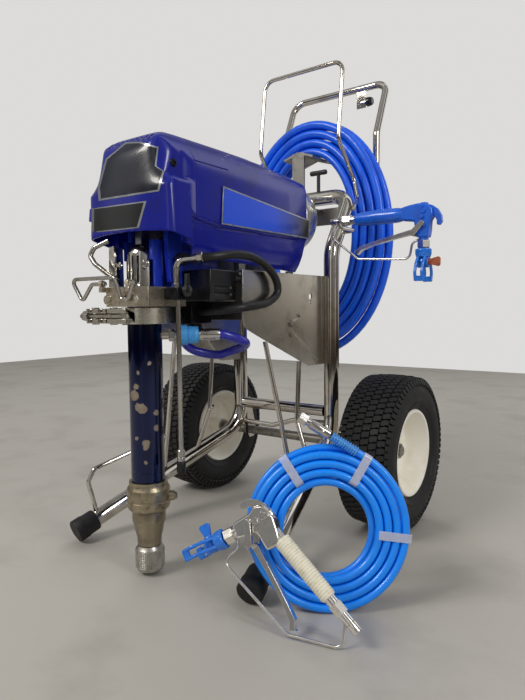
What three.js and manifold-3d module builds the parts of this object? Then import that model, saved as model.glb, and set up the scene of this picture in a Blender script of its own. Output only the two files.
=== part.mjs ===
// Airless paint sprayer on a two-wheeled cart: motor, gear train and piston pump on a bent tube frame,
// with a hose coil and a spray gun hung on it and a second coil and gun stood in front of it.
// Millimetres. Machine frame: +Z up, X across the cart (axle direction), -Y to the pump, Y = 0 on the axle.
// The finished group is moved so that the bottom centre of the machine, without its hoses, is the origin.
import * as THREE from 'three';
import { mergeVertices } from 'three/addons/utils/BufferGeometryUtils.js';
import Module from 'manifold-3d';

const wasm = await Module();
wasm.setup();

// ---------------------------------------------------------------- driving dimensions
const GAP = 0.3; // between touching pieces
const tyreRadius = 155;
const tyreWidth = 112;
const trackHalf = 248; // centre plane of each wheel
const rimFlangeRadius = 88;
const hubRadius = 17;
const axleRadius = 10;
const axleZ = tyreRadius;
const wheelPlay = 0.6; // hub bore over the axle, on the radius

const tubeRadius = 16; // main frame tube
const postX = 122.6;
const postY = -29;
const postBendZ = 175;
const postLeanZ = 566;
const leanSlope = 0.65; // how far the tube leans back for each millimetre up
const sideTopZ = 640; // where each side tube meets the arch
const archZ = 694;
const footX = 208;
const footY = -428;
const footZ = 24.2;
const footCapRadius = 22;
const footCapLength = 44;
const rodRadius = 4.5; // welded rods and the hose rack wire

const plateX = 113; // cart side plates
const plateThickness = 3;
const plateFrontY = -322;
const plateTopZ = 513;
const plateLowZ = 330;
const deckZ = 503;
const deckThickness = 4;

const pumpY = -440;
const cylinderRadius = 28;
const cylinderBore = 22;
const cylinderLowZ = 161;
const cylinderTopZ = 451.6;
const lowerHousingRadius = 36;
const lowerHousingLowZ = 110;
const coneTopRadius = 28;
const coneLowRadius = 20;
const coneLowZ = 50;
const intakeBore = 12;
const nutRadius = 25;
const nutLowZ = 6;
const knurlCount = 16;
const clampRadius = 45;
const clampLowZ = 424;
const clampHeight = 26;
const blockHalfX = 49;
const blockFrontY = -490;
const blockBackY = -392;
const blockLowZ = 452;
const blockHeight = 31;
const rodRad = 10; // displacement rod
const stroke = 44;
const blockBore = 17; // lets the foot of the con-rod in, swung to either side
const pistonZ = 262;
const wristZ = 500;

const motorZ = 640;
const motorRadius = 50;
const motorWall = 5;
const motorFrontY = -287;
const motorBackY = -20;
const endBellDepth = 48;
const shaftRadius = 8;
const gearModule = 3;
const pinionTeeth = 7;
const firstGearTeeth = 22;
const secondPinionTeeth = 8;
const crankGearTeeth = 31;
const gearPlay = 0.8; // added to each centre distance
const crankDrop = 44; // crank axis below the motor axis
const gearWidth = 14;

const cowlHalf = 88;
const cowlWall = 3;
const cowlFrontY = -478;
const cowlSplitY = -404;
const cowlBackY = -58;
const cowlTopZ = 740;

const rearHoseDiameter = 19;
const rearHosePitch = 21.1;
const rearHoseLayers = 2;
const rearHoseTurns = 4; // turns in each layer
const rearCoilStart = -90; // degrees round from +X to where the hose begins
const rearCoilX = -22;
const rearCoilY = 134.6;
const rearCoilZ = 618;
const rearCoilHalfX = 212;
const rearCoilHalfZ = 288;
const frontHoseDiameter = 12.3;
const frontHosePitch = 13.2;
const frontHoseLayers = 2;
const frontHoseTurns = 4;
const frontCoilStart = 61;
const coilSteps = 18; // straight steps in one turn
const frontCoilRadius = 120; // centre line of the outer turn
const frontCoilAzimuth = 36; // degrees that its face is turned from -Y to +X
const frontCoilLean = 12; // degrees that it leans back
const frontCoilFoot = [312, -377]; // where its lowest turn stands on the floor

// ---------------------------------------------------------------- geometry helpers
const V = (x, y, z) => new THREE.Vector3(x, y, z);
const deg = THREE.MathUtils.degToRad;

function clean(geometry) {
  const g = geometry.index ? geometry : geometry.clone();
  for (const name of Object.keys(g.attributes)) if (name !== 'position') g.deleteAttribute(name);
  const merged = mergeVertices(g, 1e-4);
  const p = merged.attributes.position;
  const index = Array.from(merged.index.array);
  let volume = 0;
  const a = V(), b = V(), c = V();
  for (let i = 0; i < index.length; i += 3) {
    a.fromBufferAttribute(p, index[i]);
    b.fromBufferAttribute(p, index[i + 1]);
    c.fromBufferAttribute(p, index[i + 2]);
    volume += a.dot(b.cross(c));
  }
  const kept = [];
  for (let i = 0; i < index.length; i += 3) {
    const [i0, i1, i2] = [index[i], index[i + 1], index[i + 2]];
    if (i0 === i1 || i1 === i2 || i0 === i2) continue;
    if (volume < 0) kept.push(i0, i2, i1);
    else kept.push(i0, i1, i2);
  }
  merged.setIndex(kept);
  return merged;
}

function toSolid(geometry) {
  const g = clean(geometry);
  return new wasm.Manifold(new wasm.Mesh({
    numProp: 3,
    vertProperties: new Float32Array(g.attributes.position.array),
    triVerts: new Uint32Array(g.index.array),
  }));
}

function fromSolid(solid) {
  const mesh = solid.getMesh();
  const g = new THREE.BufferGeometry();
  g.setAttribute('position', new THREE.BufferAttribute(new Float32Array(mesh.vertProperties), 3));
  g.setIndex(Array.from(mesh.triVerts));
  return g;
}

// body: geometries joined, then the cutters taken away
function make(bodies, cutters = []) {
  let solid = toSolid(bodies[0]);
  for (const b of bodies.slice(1)) solid = solid.add(toSolid(b));
  for (const c of cutters) solid = solid.subtract(toSolid(c));
  return fromSolid(solid);
}

function common(first, ...others) {
  let solid = toSolid(first);
  for (const o of others) solid = solid.intersect(toSolid(o));
  return fromSolid(solid);
}

const box = (x0, x1, y0, y1, z0, z1) =>
  new THREE.BoxGeometry(x1 - x0, y1 - y0, z1 - z0).translate((x0 + x1) / 2, (y0 + y1) / 2, (z0 + z1) / 2);

// cylinder or cone from point a to point b
function rod(a, b, r, n = 12, rb = r) {
  const d = V().subVectors(b, a);
  const g = new THREE.CylinderGeometry(rb, r, d.length(), n, 1);
  g.translate(0, d.length() / 2, 0);
  g.applyQuaternion(new THREE.Quaternion().setFromUnitVectors(V(0, 1, 0), d.normalize()));
  return g.translate(a.x, a.y, a.z);
}

// ring turned about the +Z axis from (radius, height) pairs
function turned(profile, n = 32) {
  const g = new THREE.LatheGeometry(profile.map(([r, z]) => new THREE.Vector2(r, z)), n);
  return g.rotateX(Math.PI / 2);
}

const toAxisX = (g) => g.rotateY(Math.PI / 2);
const toAxisY = (g) => g.rotateX(-Math.PI / 2); // +Z to +Y

function circleShape(r, n, turn = 0) {
  const s = new THREE.Shape();
  for (let i = 0; i < n; i++) {
    const a = turn + (i / n) * 2 * Math.PI;
    if (i) s.lineTo(r * Math.cos(a), r * Math.sin(a));
    else s.moveTo(r * Math.cos(a), r * Math.sin(a));
  }
  s.closePath();
  return s;
}

// a path with stations only where the tube starts, bends and ends
class StationPath extends THREE.Curve {
  constructor(points, tangents) {
    super();
    this.points = points;
    this.tangents = tangents;
  }
  place(list, t) {
    const f = t * (this.points.length - 1);
    const i = Math.min(Math.floor(f + 1e-9), this.points.length - 2);
    return list[i].clone().lerp(list[i + 1], f - i);
  }
  getPoint(t) { return this.place(this.points, t); }
  getPointAt(u) { return this.getPoint(u); }
  getTangent(t) { return this.place(this.tangents, t).normalize(); }
  getTangentAt(u) { return this.getTangent(u); }
  getSpacedPoints(n) { return Array.from({ length: n + 1 }, (_, i) => this.getPoint(i / n)); }
}

function bentPath(corners, bendRadius, steps = 4) {
  const points = [corners[0].clone()];
  const tangents = [V().subVectors(corners[1], corners[0]).normalize()];
  for (let i = 1; i < corners.length - 1; i++) {
    const inn = V().subVectors(corners[i], corners[i - 1]).normalize();
    const out = V().subVectors(corners[i + 1], corners[i]).normalize();
    const turn = Math.acos(THREE.MathUtils.clamp(inn.dot(out), -1, 1));
    const back = bendRadius * Math.tan(turn / 2);
    const side = out.clone().addScaledVector(inn, -inn.dot(out)).normalize();
    const start = corners[i].clone().addScaledVector(inn, -back);
    for (let k = 0; k <= steps; k++) {
      const a = (turn * k) / steps;
      points.push(start.clone()
        .addScaledVector(inn, bendRadius * Math.sin(a))
        .addScaledVector(side, bendRadius * (1 - Math.cos(a))));
      tangents.push(inn.clone().multiplyScalar(Math.cos(a)).addScaledVector(side, Math.sin(a)));
    }
  }
  points.push(corners[corners.length - 1].clone());
  tangents.push(V().subVectors(corners[corners.length - 1], corners[corners.length - 2]).normalize());
  return new StationPath(points, tangents);
}

function sweep(path, r, sides) {
  return new THREE.ExtrudeGeometry(circleShape(r, sides), {
    steps: path.points.length - 1, extrudePath: path, bevelEnabled: false,
  });
}

// bent tube through corner points
const tube = (corners, bendRadius, r, sides = 10, steps = 4) => sweep(bentPath(corners, bendRadius, steps), r, sides);

// smooth tube through points
function smoothTube(points, r, sides, steps) {
  const curve = new THREE.CatmullRomCurve3(points, false, 'centripetal');
  const list = curve.getSpacedPoints(steps);
  const tangents = list.map((_, i) => curve.getTangentAt(i / steps));
  return sweep(new StationPath(list, tangents), r, sides);
}

// flat outline of [a, b] pairs drawn out along the third axis
function outline(points) {
  const s = new THREE.Shape();
  points.forEach(([a, b], i) => (i ? s.lineTo(a, b) : s.moveTo(a, b)));
  s.closePath();
  return s;
}
const hole = (a, b, r, n = 12) => {
  const p = new THREE.Path();
  for (let i = 0; i < n; i++) {
    const t = (i / n) * 2 * Math.PI;
    if (i) p.lineTo(a + r * Math.cos(t), b + r * Math.sin(t));
    else p.moveTo(a + r * Math.cos(t), b + r * Math.sin(t));
  }
  p.closePath();
  return p;
};
const drawn = (shape, depth) => new THREE.ExtrudeGeometry(shape, { depth, bevelEnabled: false });
// outline in Y,Z drawn along +X from x0; outline in X,Y drawn up from z0; outline in X,Z drawn along +Y from y0
const alongX = (shape, x0, depth) => drawn(shape, depth).rotateX(Math.PI / 2).rotateZ(Math.PI / 2).translate(x0, 0, 0);
const alongZ = (shape, z0, depth) => drawn(shape, depth).translate(0, 0, z0);
const alongY = (shape, y0, depth) => drawn(shape, depth).rotateX(Math.PI / 2).translate(0, y0 + depth, 0);

const part = new THREE.Group();
const meshes = {};
function add(name, geometry, color, roughness = 0.4, metalness = 0.9) {
  const mesh = new THREE.Mesh(clean(geometry), new THREE.MeshStandardMaterial({ color, roughness, metalness }));
  mesh.name = name;
  part.add(mesh);
  meshes[name] = mesh;
  return mesh;
}
const CHROME = 0xb9b4ad, CAST = 0xa9a49b, STEEL = 0x8f8f90, BLUE = 0x1a2fb0, BLACK = 0x17181a, RUBBER = 0x141414;

// ---------------------------------------------------------------- wheels and axle
const wheelSegments = 20;
function wheelParts(side) {
  const half = tyreWidth / 2;
  const bead = rimFlangeRadius - 4;
  const tread = tyreRadius / Math.cos(Math.PI / wheelSegments); // at the corners, so that a flat one rests on the floor
  const tyre = turned([
    [bead, -41], [bead + 4.6, -41.6], [112, -half], [136, -half + 3], [tread - 3, -36], [tread, -14],
    [tread, 14], [tread - 3, 36], [136, half - 3], [112, half], [bead + 4.6, 41.6], [bead, 41],
    [130, 44], [130, -44], [bead, -41],
  ], wheelSegments);
  const seat = bead - 0.4;
  const bore = axleRadius + wheelPlay;
  const rim = turned([
    [rimFlangeRadius, -44], [seat, -42], [72, -16], [72, 16], [seat, 42], [rimFlangeRadius, 44],
    [80, 45], [67, 14], [60, 21], [hubRadius, 27], [hubRadius, 44], [bore, 44], [bore, -44],
    [hubRadius, -44], [hubRadius, 22], [64, 10], [80, -45], [rimFlangeRadius, -44],
  ], wheelSegments);
  const valveSlot = box(-6, 6, 40, 52, 10, 40);
  const turn = (g) => (side < 0 ? toAxisX(g).rotateZ(Math.PI) : toAxisX(g))
    .rotateX(Math.PI / wheelSegments).translate(side * trackHalf, 0, axleZ);
  return [turn(tyre), turn(make([rim], [valveSlot]))];
}
for (const [side, name] of [[1, 'right'], [-1, 'left']]) {
  const [tyre, rim] = wheelParts(side);
  add(`tyre_${name}`, tyre, RUBBER, 0.9, 0);
  add(`rim_${name}`, rim, 0xe9e4da, 0.45, 0.1);
}
const axleEnd = trackHalf + 52;
const collarRadius = 15;
const halfAxle = [
  [axleRadius, trackHalf - 50], [collarRadius, trackHalf - 50], [collarRadius, trackHalf - 44.6],
  [axleRadius, trackHalf - 44.6], [axleRadius, trackHalf + 44.6], [collarRadius, trackHalf + 44.6],
  [collarRadius, trackHalf + 48], [axleRadius, trackHalf + 48], [axleRadius, axleEnd], [0, axleEnd],
];
add('axle', toAxisX(turned([...halfAxle.slice().reverse().map(([r, x]) => [r, -x]), ...halfAxle], 8))
  .translate(0, 0, axleZ), STEEL);

// ---------------------------------------------------------------- bent tube frame
const leanY = (z) => postY + leanSlope * (z - postLeanZ);
const legEnd = (s) => V(s * footX, footY, footZ);
const legTop = (s) => V(s * postX, postY, postBendZ); // knee, before its bend is rounded
const legDir = (s) => V().subVectors(legEnd(s), legTop(s)).normalize();
const legAt = (s, y, lift = 0) => {
  const t = (y - legTop(s).y) / (footY - legTop(s).y);
  return legTop(s).lerp(legEnd(s), t).add(V(0, 0, lift));
};
const archY = leanY(archZ);
const archGap = GAP / Math.hypot(1, leanSlope);
add('frame_arch', tube([
  V(postX, leanY(sideTopZ + archGap), sideTopZ + archGap), V(postX, archY, archZ), V(-postX, archY, archZ),
  V(-postX, leanY(sideTopZ + archGap), sideTopZ + archGap),
], 42, tubeRadius, 12, 3), CHROME, 0.2);

const footCap = (s) => {
  const d = legDir(s);
  const end = legEnd(s);
  const cap = rod(end.clone().addScaledVector(d, 10), end.clone().addScaledVector(d, 10 - footCapLength), footCapRadius, 14, footCapRadius - 2);
  const bore = rod(end.clone().addScaledVector(d, GAP), end.clone().addScaledVector(d, -60), tubeRadius + 4 * GAP, 14);
  return make([cap], [bore]);
};
add('foot_cap_right', footCap(1), RUBBER, 0.8, 0);
add('foot_cap_left', footCap(-1), RUBBER, 0.8, 0);

// plates welded behind the posts that hold the axle
const axlePlate = (s) => {
  const back = postY + tubeRadius - 4;
  const shape = outline([[back, 196], [back, 236], [back + 12, 236], [17, 162], [17, 148], [8, 138], [-8, 138], [-14, 150], [-14, 168]]);
  shape.holes.push(hole(0, axleZ, axleRadius + 2 * GAP, 16));
  return alongX(shape, s * (postX - 6) - 3, 6);
};
// side plates: drive carried in front of the posts
const plateEdgeY = postY - tubeRadius - GAP + 1.6;
const plateOutline = () => {
  const shape = outline([
    [plateFrontY, plateTopZ], [plateFrontY, 428], [plateFrontY + 8, 414], [plateFrontY + 30, 404], [-108, 331],
    [plateEdgeY, plateLowZ], [plateEdgeY, plateTopZ],
  ]);
  shape.holes.push(hole(-100, 470, 6.5, 10), hole(-100, 458, 3.6, 6));
  return shape;
};
for (const [s, name] of [[1, 'right'], [-1, 'left']]) {
  const web = alongX(plateOutline(), s * plateX - plateThickness / 2, plateThickness);
  const bolt = (y, z, r) => rod(V(s * (plateX - 4), y, z), V(s * (plateX + 5), y, z), r, 6);
  const lip = box(s > 0 ? plateX - 14 : -plateX, s > 0 ? plateX : -plateX + 14, plateFrontY, plateEdgeY, plateTopZ - 3, plateTopZ);
  add(`side_plate_${name}`, make([web, lip, bolt(-143, 434, 4.5), bolt(-172, 418, 6.5), bolt(-172, 397, 4.5)]), 0x9c9a97, 0.35);
}
const plateLow = (y) => 404 + ((y - (plateFrontY + 30)) / (-108 - plateFrontY - 30)) * (331 - 404);
const strut = (s) => rod(V(s * plateX, -256, plateLow(-256) - GAP - 1.8), legAt(s, -240, 4), rodRadius, 6);
const stay = (s) => tube([
  V(s * plateX, -142, plateLow(-142) - GAP - 1.8), V(s * (plateX + 1), -152, 226), legAt(s, -158, 2),
], 30, rodRadius, 6, 2);
const loopRear = V(-plateX, -256, plateLow(-256)).lerp(legAt(-1, -240, 4), 0.72);
const frameSide = (s) => tube([
  legEnd(s), legTop(s), V(s * postX, postY, postLeanZ), V(s * postX, leanY(sideTopZ), sideTopZ),
], 70, tubeRadius, 11, 3);
const postInner = postX - tubeRadius - GAP;
// hanger that the rear gun's inlet fitting rests on
const hangerZ = 606.6, hangerX = 162;
const gunHanger = tube([
  V(postX, leanY(hangerZ), hangerZ), V(hangerX, leanY(hangerZ), hangerZ), V(hangerX, -64, hangerZ), V(hangerX, -64, 624),
], 10, rodRadius, 6, 2);
add('frame_side_right', make([frameSide(1), axlePlate(1), strut(1), stay(1), gunHanger]), CHROME, 0.2);
add('frame_side_left', make([
  frameSide(-1), axlePlate(-1), strut(-1), stay(-1),
  tube([loopRear, V(-202, -396, 136), V(-206, -408, 112), legAt(-1, -392, 4)], 14, rodRadius, 6, 2),
  tube([V(-postX + 8, postY - 1, 182), V(-30, postY - 1, 180), V(35, postY - 1, 200), V(postInner - 0.5, postY - 1, 200)], 22, 5.5, 6, 2),
  rod(V(-postX, postY, 226), V(postInner, postY, 226), 12, 10),
]), CHROME, 0.2);

// deck between the side plates with the motor saddle and the posts that the cowl stands on
const deckHalf = plateX - plateThickness / 2 - GAP;
const deckFrontY = motorFrontY - 4.4;
const bellyZ = (y) => 534 + ((y - cowlSplitY) / (cowlBackY - cowlSplitY)) * (520 - 534);
const saddle = make([box(-38, 38, -236, -110, deckZ, motorZ - 20)], [
  rod(V(0, -300, motorZ), V(0, 0, motorZ), motorRadius + GAP, 32),
  box(-26, 26, -240, -100, deckZ + 16, deckZ + 70),
]);
const cowlPost = (x, y) => box(x - 4, x + 4, y - 9, y + 9, deckZ, bellyZ(y + 9) - GAP);
add('deck', make([
  box(-deckHalf, deckHalf, deckFrontY, -62, deckZ, deckZ + deckThickness), saddle,
  ...[[70, -270], [-70, -270], [70, -110], [-70, -110]].map(([x, y]) => cowlPost(x, y)),
]), STEEL);

// ---------------------------------------------------------------- cowl: side profile x plan x cross-section
function cowlForm(inset, low) {
  const i = inset;
  const top = cowlTopZ - i;
  const profile = outline([
    [cowlFrontY + i, low ? 430 : 549], [cowlFrontY + i, 700 - i * 0.4], [-432 + i * 0.6, top - 3], [-405, top],
    [-292, top], [-160, top - 14], [cowlBackY - 8, 708 - i],
    ...(low ? [[cowlBackY + 20, 700 - i], [cowlBackY + 20, 430]]
      : [[cowlBackY, 698], [cowlBackY - 2, 592], [-84, 521], [cowlSplitY + 0.1, 534], [cowlSplitY - 0.1, 546]]),
  ]);
  const h = cowlHalf - i;
  const half = [[0, top + 6], [34, top + 4 - 6], [58, top - 14], [76 - i, top - 30], [h, top - 56], [h, 590]];
  const lowHalf = low ? [[76 - i, 545], [67, 518], [67, 420]] : [[79, 545], [70, 515]];
  const right = [...half, ...lowHalf];
  const section = outline([...right, ...right.slice().reverse().filter(([x]) => x > 0).map(([x, z]) => [-x, z])]);
  const plan = [[h - 8, cowlBackY + (low ? 22 : 2)], [h, -130], [h, cowlFrontY + 42], [h - 8, cowlFrontY + 20 + i * 0.5], [58, cowlFrontY + 6 + i * 0.8], [0, cowlFrontY - 2 + i]];
  const planShape = outline([...plan, ...plan.slice().reverse().filter(([x]) => x > 0).map(([x, y]) => [-x, y])]);
  return [alongX(profile, -120, 240), alongZ(planShape, 400, 400), alongY(section, -520, 500)];
}
const cowlOuter = common(...cowlForm(0, false));
const cowlInner = common(...cowlForm(cowlWall, true));
const ventSlots = Array.from({ length: 7 }, (_, k) => {
  const x = -39 + k * 13;
  return box(x - 2.6, x + 2.6, -14, 14, -30, 30).rotateX(deg(-50)).translate(0, -456, 719);
});
const frontHalf = box(-150, 150, -600, cowlSplitY - 0.3, 300, 900);
const rearHalf = box(-150, 150, cowlSplitY + 0.3, 100, 300, 900);
const cowlShell = make([cowlOuter], [cowlInner]);
const latch = box(-cowlHalf - 7, -cowlHalf + 1, -446, -424, 600, 622);
add('front_cowl', make([common(cowlShell, frontHalf), latch], ventSlots), BLUE, 0.25, 0.1);
add('motor_shroud', common(cowlShell, rearHalf), BLUE, 0.25, 0.1);

// ---------------------------------------------------------------- motor
const alongAxis = (profile, n) => toAxisY(turned(profile, n)).scale(1, 1, 1).translate(0, 0, motorZ);
const gearOuter = [
  [-30, 484], [30, 484], [34, 545], [54, 560], [54, 672], [36, 692], [-36, 692], [-80, 672], [-80, 598], [-54, 560], [-34, 545],
];
const flange = alongY(outline([[-34, 546], [34, 546], [54, 560], [54, 672], [36, 692], [-36, 692], [-80, 672], [-80, 598], [-54, 560]]), motorFrontY - 4.7, 4.7);
const ringY = (r0, r1, y0, y1, n = 20, z = motorZ, x = 0) =>
  toAxisY(turned([[r0, 0], [r1, 0], [r1, y1 - y0], [r0, y1 - y0], [r0, 0]], n)).translate(x, y0, z);
const diskY = (r, y0, y1, n = 32, z = motorZ, x = 0) => rod(V(x, y0, z), V(x, y1, z), r, n);
add('motor_can', make([flange, ringY(motorRadius - motorWall, motorRadius, motorFrontY - 1, motorBackY)], [diskY(shaftRadius + 1, -400, -200, 16)]), 0x2a2b2e, 0.5, 0.5);
const bellBack = motorBackY + endBellDepth;
const bell = toAxisY(turned([
  [motorRadius, 0.3], [motorRadius, 22], [motorRadius - 6, 36], [motorRadius - 20, 45], [18, endBellDepth],
  [shaftRadius + 1, endBellDepth], [shaftRadius + 1, endBellDepth - 8], [motorRadius - 20, 38],
  [motorRadius - 8, 26], [motorRadius - 5, 0.3], [motorRadius, 0.3],
], 18)).translate(0, motorBackY, motorZ);
const bellVents = Array.from({ length: 4 }, (_, k) => box(-4, 4, motorBackY + 6, motorBackY + 18, 30, 70).rotateY((k * Math.PI) / 2 + 0.4));
add('motor_end_bell', make([bell], bellVents.map((g) => g.translate(0, 0, motorZ))), CHROME, 0.2);

// ---------------------------------------------------------------- gear train, crank and drive casting
function gearShape(teeth, phase) {
  const r = (gearModule * teeth) / 2;
  const [root, tip] = [r - 1.2 * gearModule, r + 0.8 * gearModule];
  const step = (2 * Math.PI) / teeth;
  const s = new THREE.Shape();
  for (let i = 0; i < teeth; i++) {
    const a = phase + i * step;
    for (const [rr, f] of [[root, -0.3], [tip, -0.13], [tip, 0.13], [root, 0.3]]) {
      const p = [rr * Math.cos(a + f * step), rr * Math.sin(a + f * step)];
      if (i === 0 && f === -0.3) s.moveTo(...p);
      else s.lineTo(...p);
    }
  }
  s.closePath();
  return s;
}
const gearAt = (teeth, phase, x, z, y0, width = gearWidth) => alongY(gearShape(teeth, phase), y0, width).translate(x, 0, z);
const pitch = (teeth) => (gearModule * teeth) / 2;
const crankZ = motorZ - crankDrop;
const reachA = pitch(pinionTeeth) + pitch(firstGearTeeth) + gearPlay;
const reachB = pitch(secondPinionTeeth) + pitch(crankGearTeeth) + gearPlay;
const midZ = crankZ + (reachB ** 2 - reachA ** 2 + crankDrop ** 2) / (2 * crankDrop);
const midX = -Math.sqrt(reachB ** 2 - (midZ - crankZ) ** 2);
const firstRow = -330, secondRow = -352;
const aimA = Math.atan2(midZ - motorZ, midX);
const aimB = Math.atan2(crankZ - midZ, -midX);
add('armature', make([
  diskY(shaftRadius, firstRow - 4, motorBackY + endBellDepth - 3, 12),
  gearAt(pinionTeeth, aimA, 0, motorZ, firstRow), diskY(34, -252, -78, 16), diskY(17, -70, -50, 10),
  diskY(34, -40, -34, 10),
]), 0x9a6a3c, 0.5);
add('reduction_gear', make([
  gearAt(firstGearTeeth, aimA + Math.PI + Math.PI / firstGearTeeth, midX, midZ, firstRow),
  gearAt(secondPinionTeeth, aimB, midX, midZ, secondRow, 24), diskY(6, -367.6, -292.2, 12, midZ, midX),
]), STEEL, 0.35);
const throwY0 = -411, caseFrontY = -400, caseBackY = motorFrontY - 4.7 - GAP;
const crankPinZ = crankZ + stroke / 2;
add('crankshaft', make([
  gearAt(crankGearTeeth, aimB + Math.PI + Math.PI / crankGearTeeth, 0, crankZ, secondRow),
  diskY(16.2, throwY0, secondRow + 2, 12, crankZ), diskY(33, throwY0, caseFrontY - 0.6, 16, crankZ),
  diskY(9, pumpY + 10.6, throwY0 + 1, 12, crankPinZ), diskY(8, secondRow + 12, -293, 12, crankZ),
]), STEEL, 0.35);
const caseBody = alongY(outline(gearOuter), caseFrontY, caseBackY - caseFrontY);
const caseBoss = make([
  ringAround(30, 34, 527, 558), box(-26, 26, -414, caseFrontY + 1, 527, 558),
], [rod(V(0, pumpY, 500), V(0, pumpY, 600), 30, 24)]);
function ringAround(r0, r1, z0, z1, n = 20) {
  return turned([[r0, z0], [r1, z0], [r1, z1], [r0, z1], [r0, z0]], n).translate(0, pumpY, 0);
}
const rib = (s) => alongX(outline([
  [-430, 600], [caseFrontY + 1, 600], [caseFrontY + 1, 484], [-414, blockLowZ + blockHeight + GAP], [-424, 492], [-430, 540],
]), s > 0 ? 38 : -48, 10);
add('drive_housing', make([caseBody, caseBoss, rib(1), rib(-1), box(-52, 52, caseFrontY - 0.5, caseFrontY + 8, 560, 600)], [
  diskY(pitch(crankGearTeeth) + 4, -369, -280, 20, crankZ), diskY(pitch(firstGearTeeth) + 3.8, -369, -280, 18, midZ, midX),
  diskY(28, -369, -280, 12, motorZ), diskY(17.2, -420, -360, 12, crankZ),
]), 0x2438b8, 0.3);

// ---------------------------------------------------------------- rod, con-rod and front block
const tongue = (y0, y1, r, z) => rod(V(0, y0, z), V(0, y1, z), r, 12);
add('displacement_rod', make([
  rod(V(0, pumpY, pistonZ + 20), V(0, pumpY, wristZ - 12.6), rodRad, 14), tongue(pumpY - 4.6, pumpY + 4.6, 9, wristZ),
  box(-8, 8, pumpY - 4.6, pumpY + 4.6, wristZ - 16, wristZ),
  tongue(pumpY - 10, pumpY + 10, 4, wristZ), rod(V(0, pumpY, pistonZ), V(0, pumpY, pistonZ + 28), cylinderBore - GAP, 18),
]), 0xc9c9cc, 0.15);
const conRod = alongY(outline([
  [-6, wristZ], [-8, wristZ - 8], [0, wristZ - 12], [8, wristZ - 8], [6, wristZ], [7, crankPinZ - 12], [15, crankPinZ - 6],
  [16, crankPinZ + 4], [9, crankPinZ + 14], [-9, crankPinZ + 14], [-16, crankPinZ + 4], [-15, crankPinZ - 6], [-7, crankPinZ - 12],
]), pumpY - 10, 20);
add('connecting_rod', make([conRod, tongue(pumpY - 10, pumpY + 10, 11, wristZ)], [
  box(-14, 14, pumpY - 5, pumpY + 5, wristZ - 20, wristZ + 13), tongue(pumpY - 20, pumpY + 20, 4.4, wristZ),
  rod(V(0, pumpY - 20, crankPinZ), V(0, pumpY + 20, crankPinZ), 9.6, 12),
]), STEEL, 0.4);

const blockTop = blockLowZ + blockHeight;
const hookY = blockFrontY - 7.2, hookZ = blockTop + 5.4;
const block = make([
  alongZ(outline([
    [-blockHalfX, blockBackY], [blockHalfX, blockBackY], [blockHalfX, blockFrontY + 14], [34, blockFrontY],
    [-34, blockFrontY], [-blockHalfX, blockFrontY + 14],
  ]), blockLowZ, blockHeight),
  ...[25, -38].flatMap((x) => [
    box(x, x + 7, hookY - 4, blockFrontY + 10, blockTop - 8, blockTop), rod(V(x, hookY, hookZ), V(x + 7, hookY, hookZ), 5.9, 8),
  ]),
  ...[-30, 30].map((x) => rod(V(x, blockFrontY - 3, blockLowZ + 11), V(x, blockFrontY + 4, blockLowZ + 11), 8, 8)),
], [
  rod(V(0, pumpY, 400), V(0, pumpY, 520), blockBore, 16), rod(V(-60, hookY, hookZ), V(60, hookY, hookZ), 3.8, 8),
  rod(V(12, blockFrontY - 5, blockLowZ + 14), V(12, blockFrontY + 9, blockLowZ + 14), 4, 8),
]);
add('bearing_block', block, CAST, 0.4);
const shieldR = 26;
const shield = make([turned([
  [shieldR, blockTop + GAP], [shieldR, 512], [shieldR - 5, 521], [shieldR - 14, 526], [0, 526.5], [0, 523.5],
  [shieldR - 14, 523], [shieldR - 7, 518], [shieldR - 3, 510], [shieldR - 3, blockTop + GAP], [shieldR, blockTop + GAP],
], 16).translate(0, pumpY, 0)], [
  box(-60, 60, pumpY - 11, pumpY + 60, 400, 600), box(2, 6, pumpY - 40, pumpY, 484 + 4, 512), box(-12, -8, pumpY - 40, pumpY, 484 + 4, 512),
]);
add('rod_shield', shield, 0xb7b9bd, 0.2);
const hookWire = 3.2;
add('pail_hook', tube([
  V(40, hookY, hookZ), V(20, hookY, hookZ), V(13, hookY - 1, 468), V(-3, hookY - 1, 468), V(-13, hookY - 1, hookZ + 9.5),
  V(-112, hookY - 1, hookZ + 9.5), V(-84, hookY - 1, 461), V(-60, hookY, hookZ), V(-26, hookY, hookZ),
], 6, hookWire, 6, 1), CHROME, 0.25);

// ---------------------------------------------------------------- pump
const atPump = (g) => g.translate(0, pumpY, 0);
const outDir = V(Math.SQRT1_2, Math.SQRT1_2, 0);
const outAt = (d) => V(0, pumpY, 404).addScaledVector(outDir, d);
add('pump_cylinder', make([atPump(turned([
  [cylinderBore, cylinderLowZ + GAP], [cylinderRadius, cylinderLowZ + GAP], [cylinderRadius, cylinderTopZ],
  [cylinderBore, cylinderTopZ], [cylinderBore, cylinderLowZ + GAP],
], 20)), rod(outAt(25), outAt(40), 7, 10), rod(outAt(39), outAt(48), 10.5, 6), rod(outAt(47), outAt(52), 8, 10)]), 0x0f1a3c, 0.12);
add('packing_stack', atPump(turned([
  [rodRad + 2 * GAP, 394], [cylinderBore - 3 * GAP, 394], [cylinderBore - 3 * GAP, 426], [19, 430], [19, 448], [rodRad + 3, 448], [rodRad + 2 * GAP, 426], [rodRad + 2 * GAP, 394],
], 12)), 0xc9a45c, 0.6, 0.1);
const lugDir = V(0.809, 0.588, 0);
const lugAt = (r, z) => V(lugDir.x * r, pumpY + lugDir.y * r, z);
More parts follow.
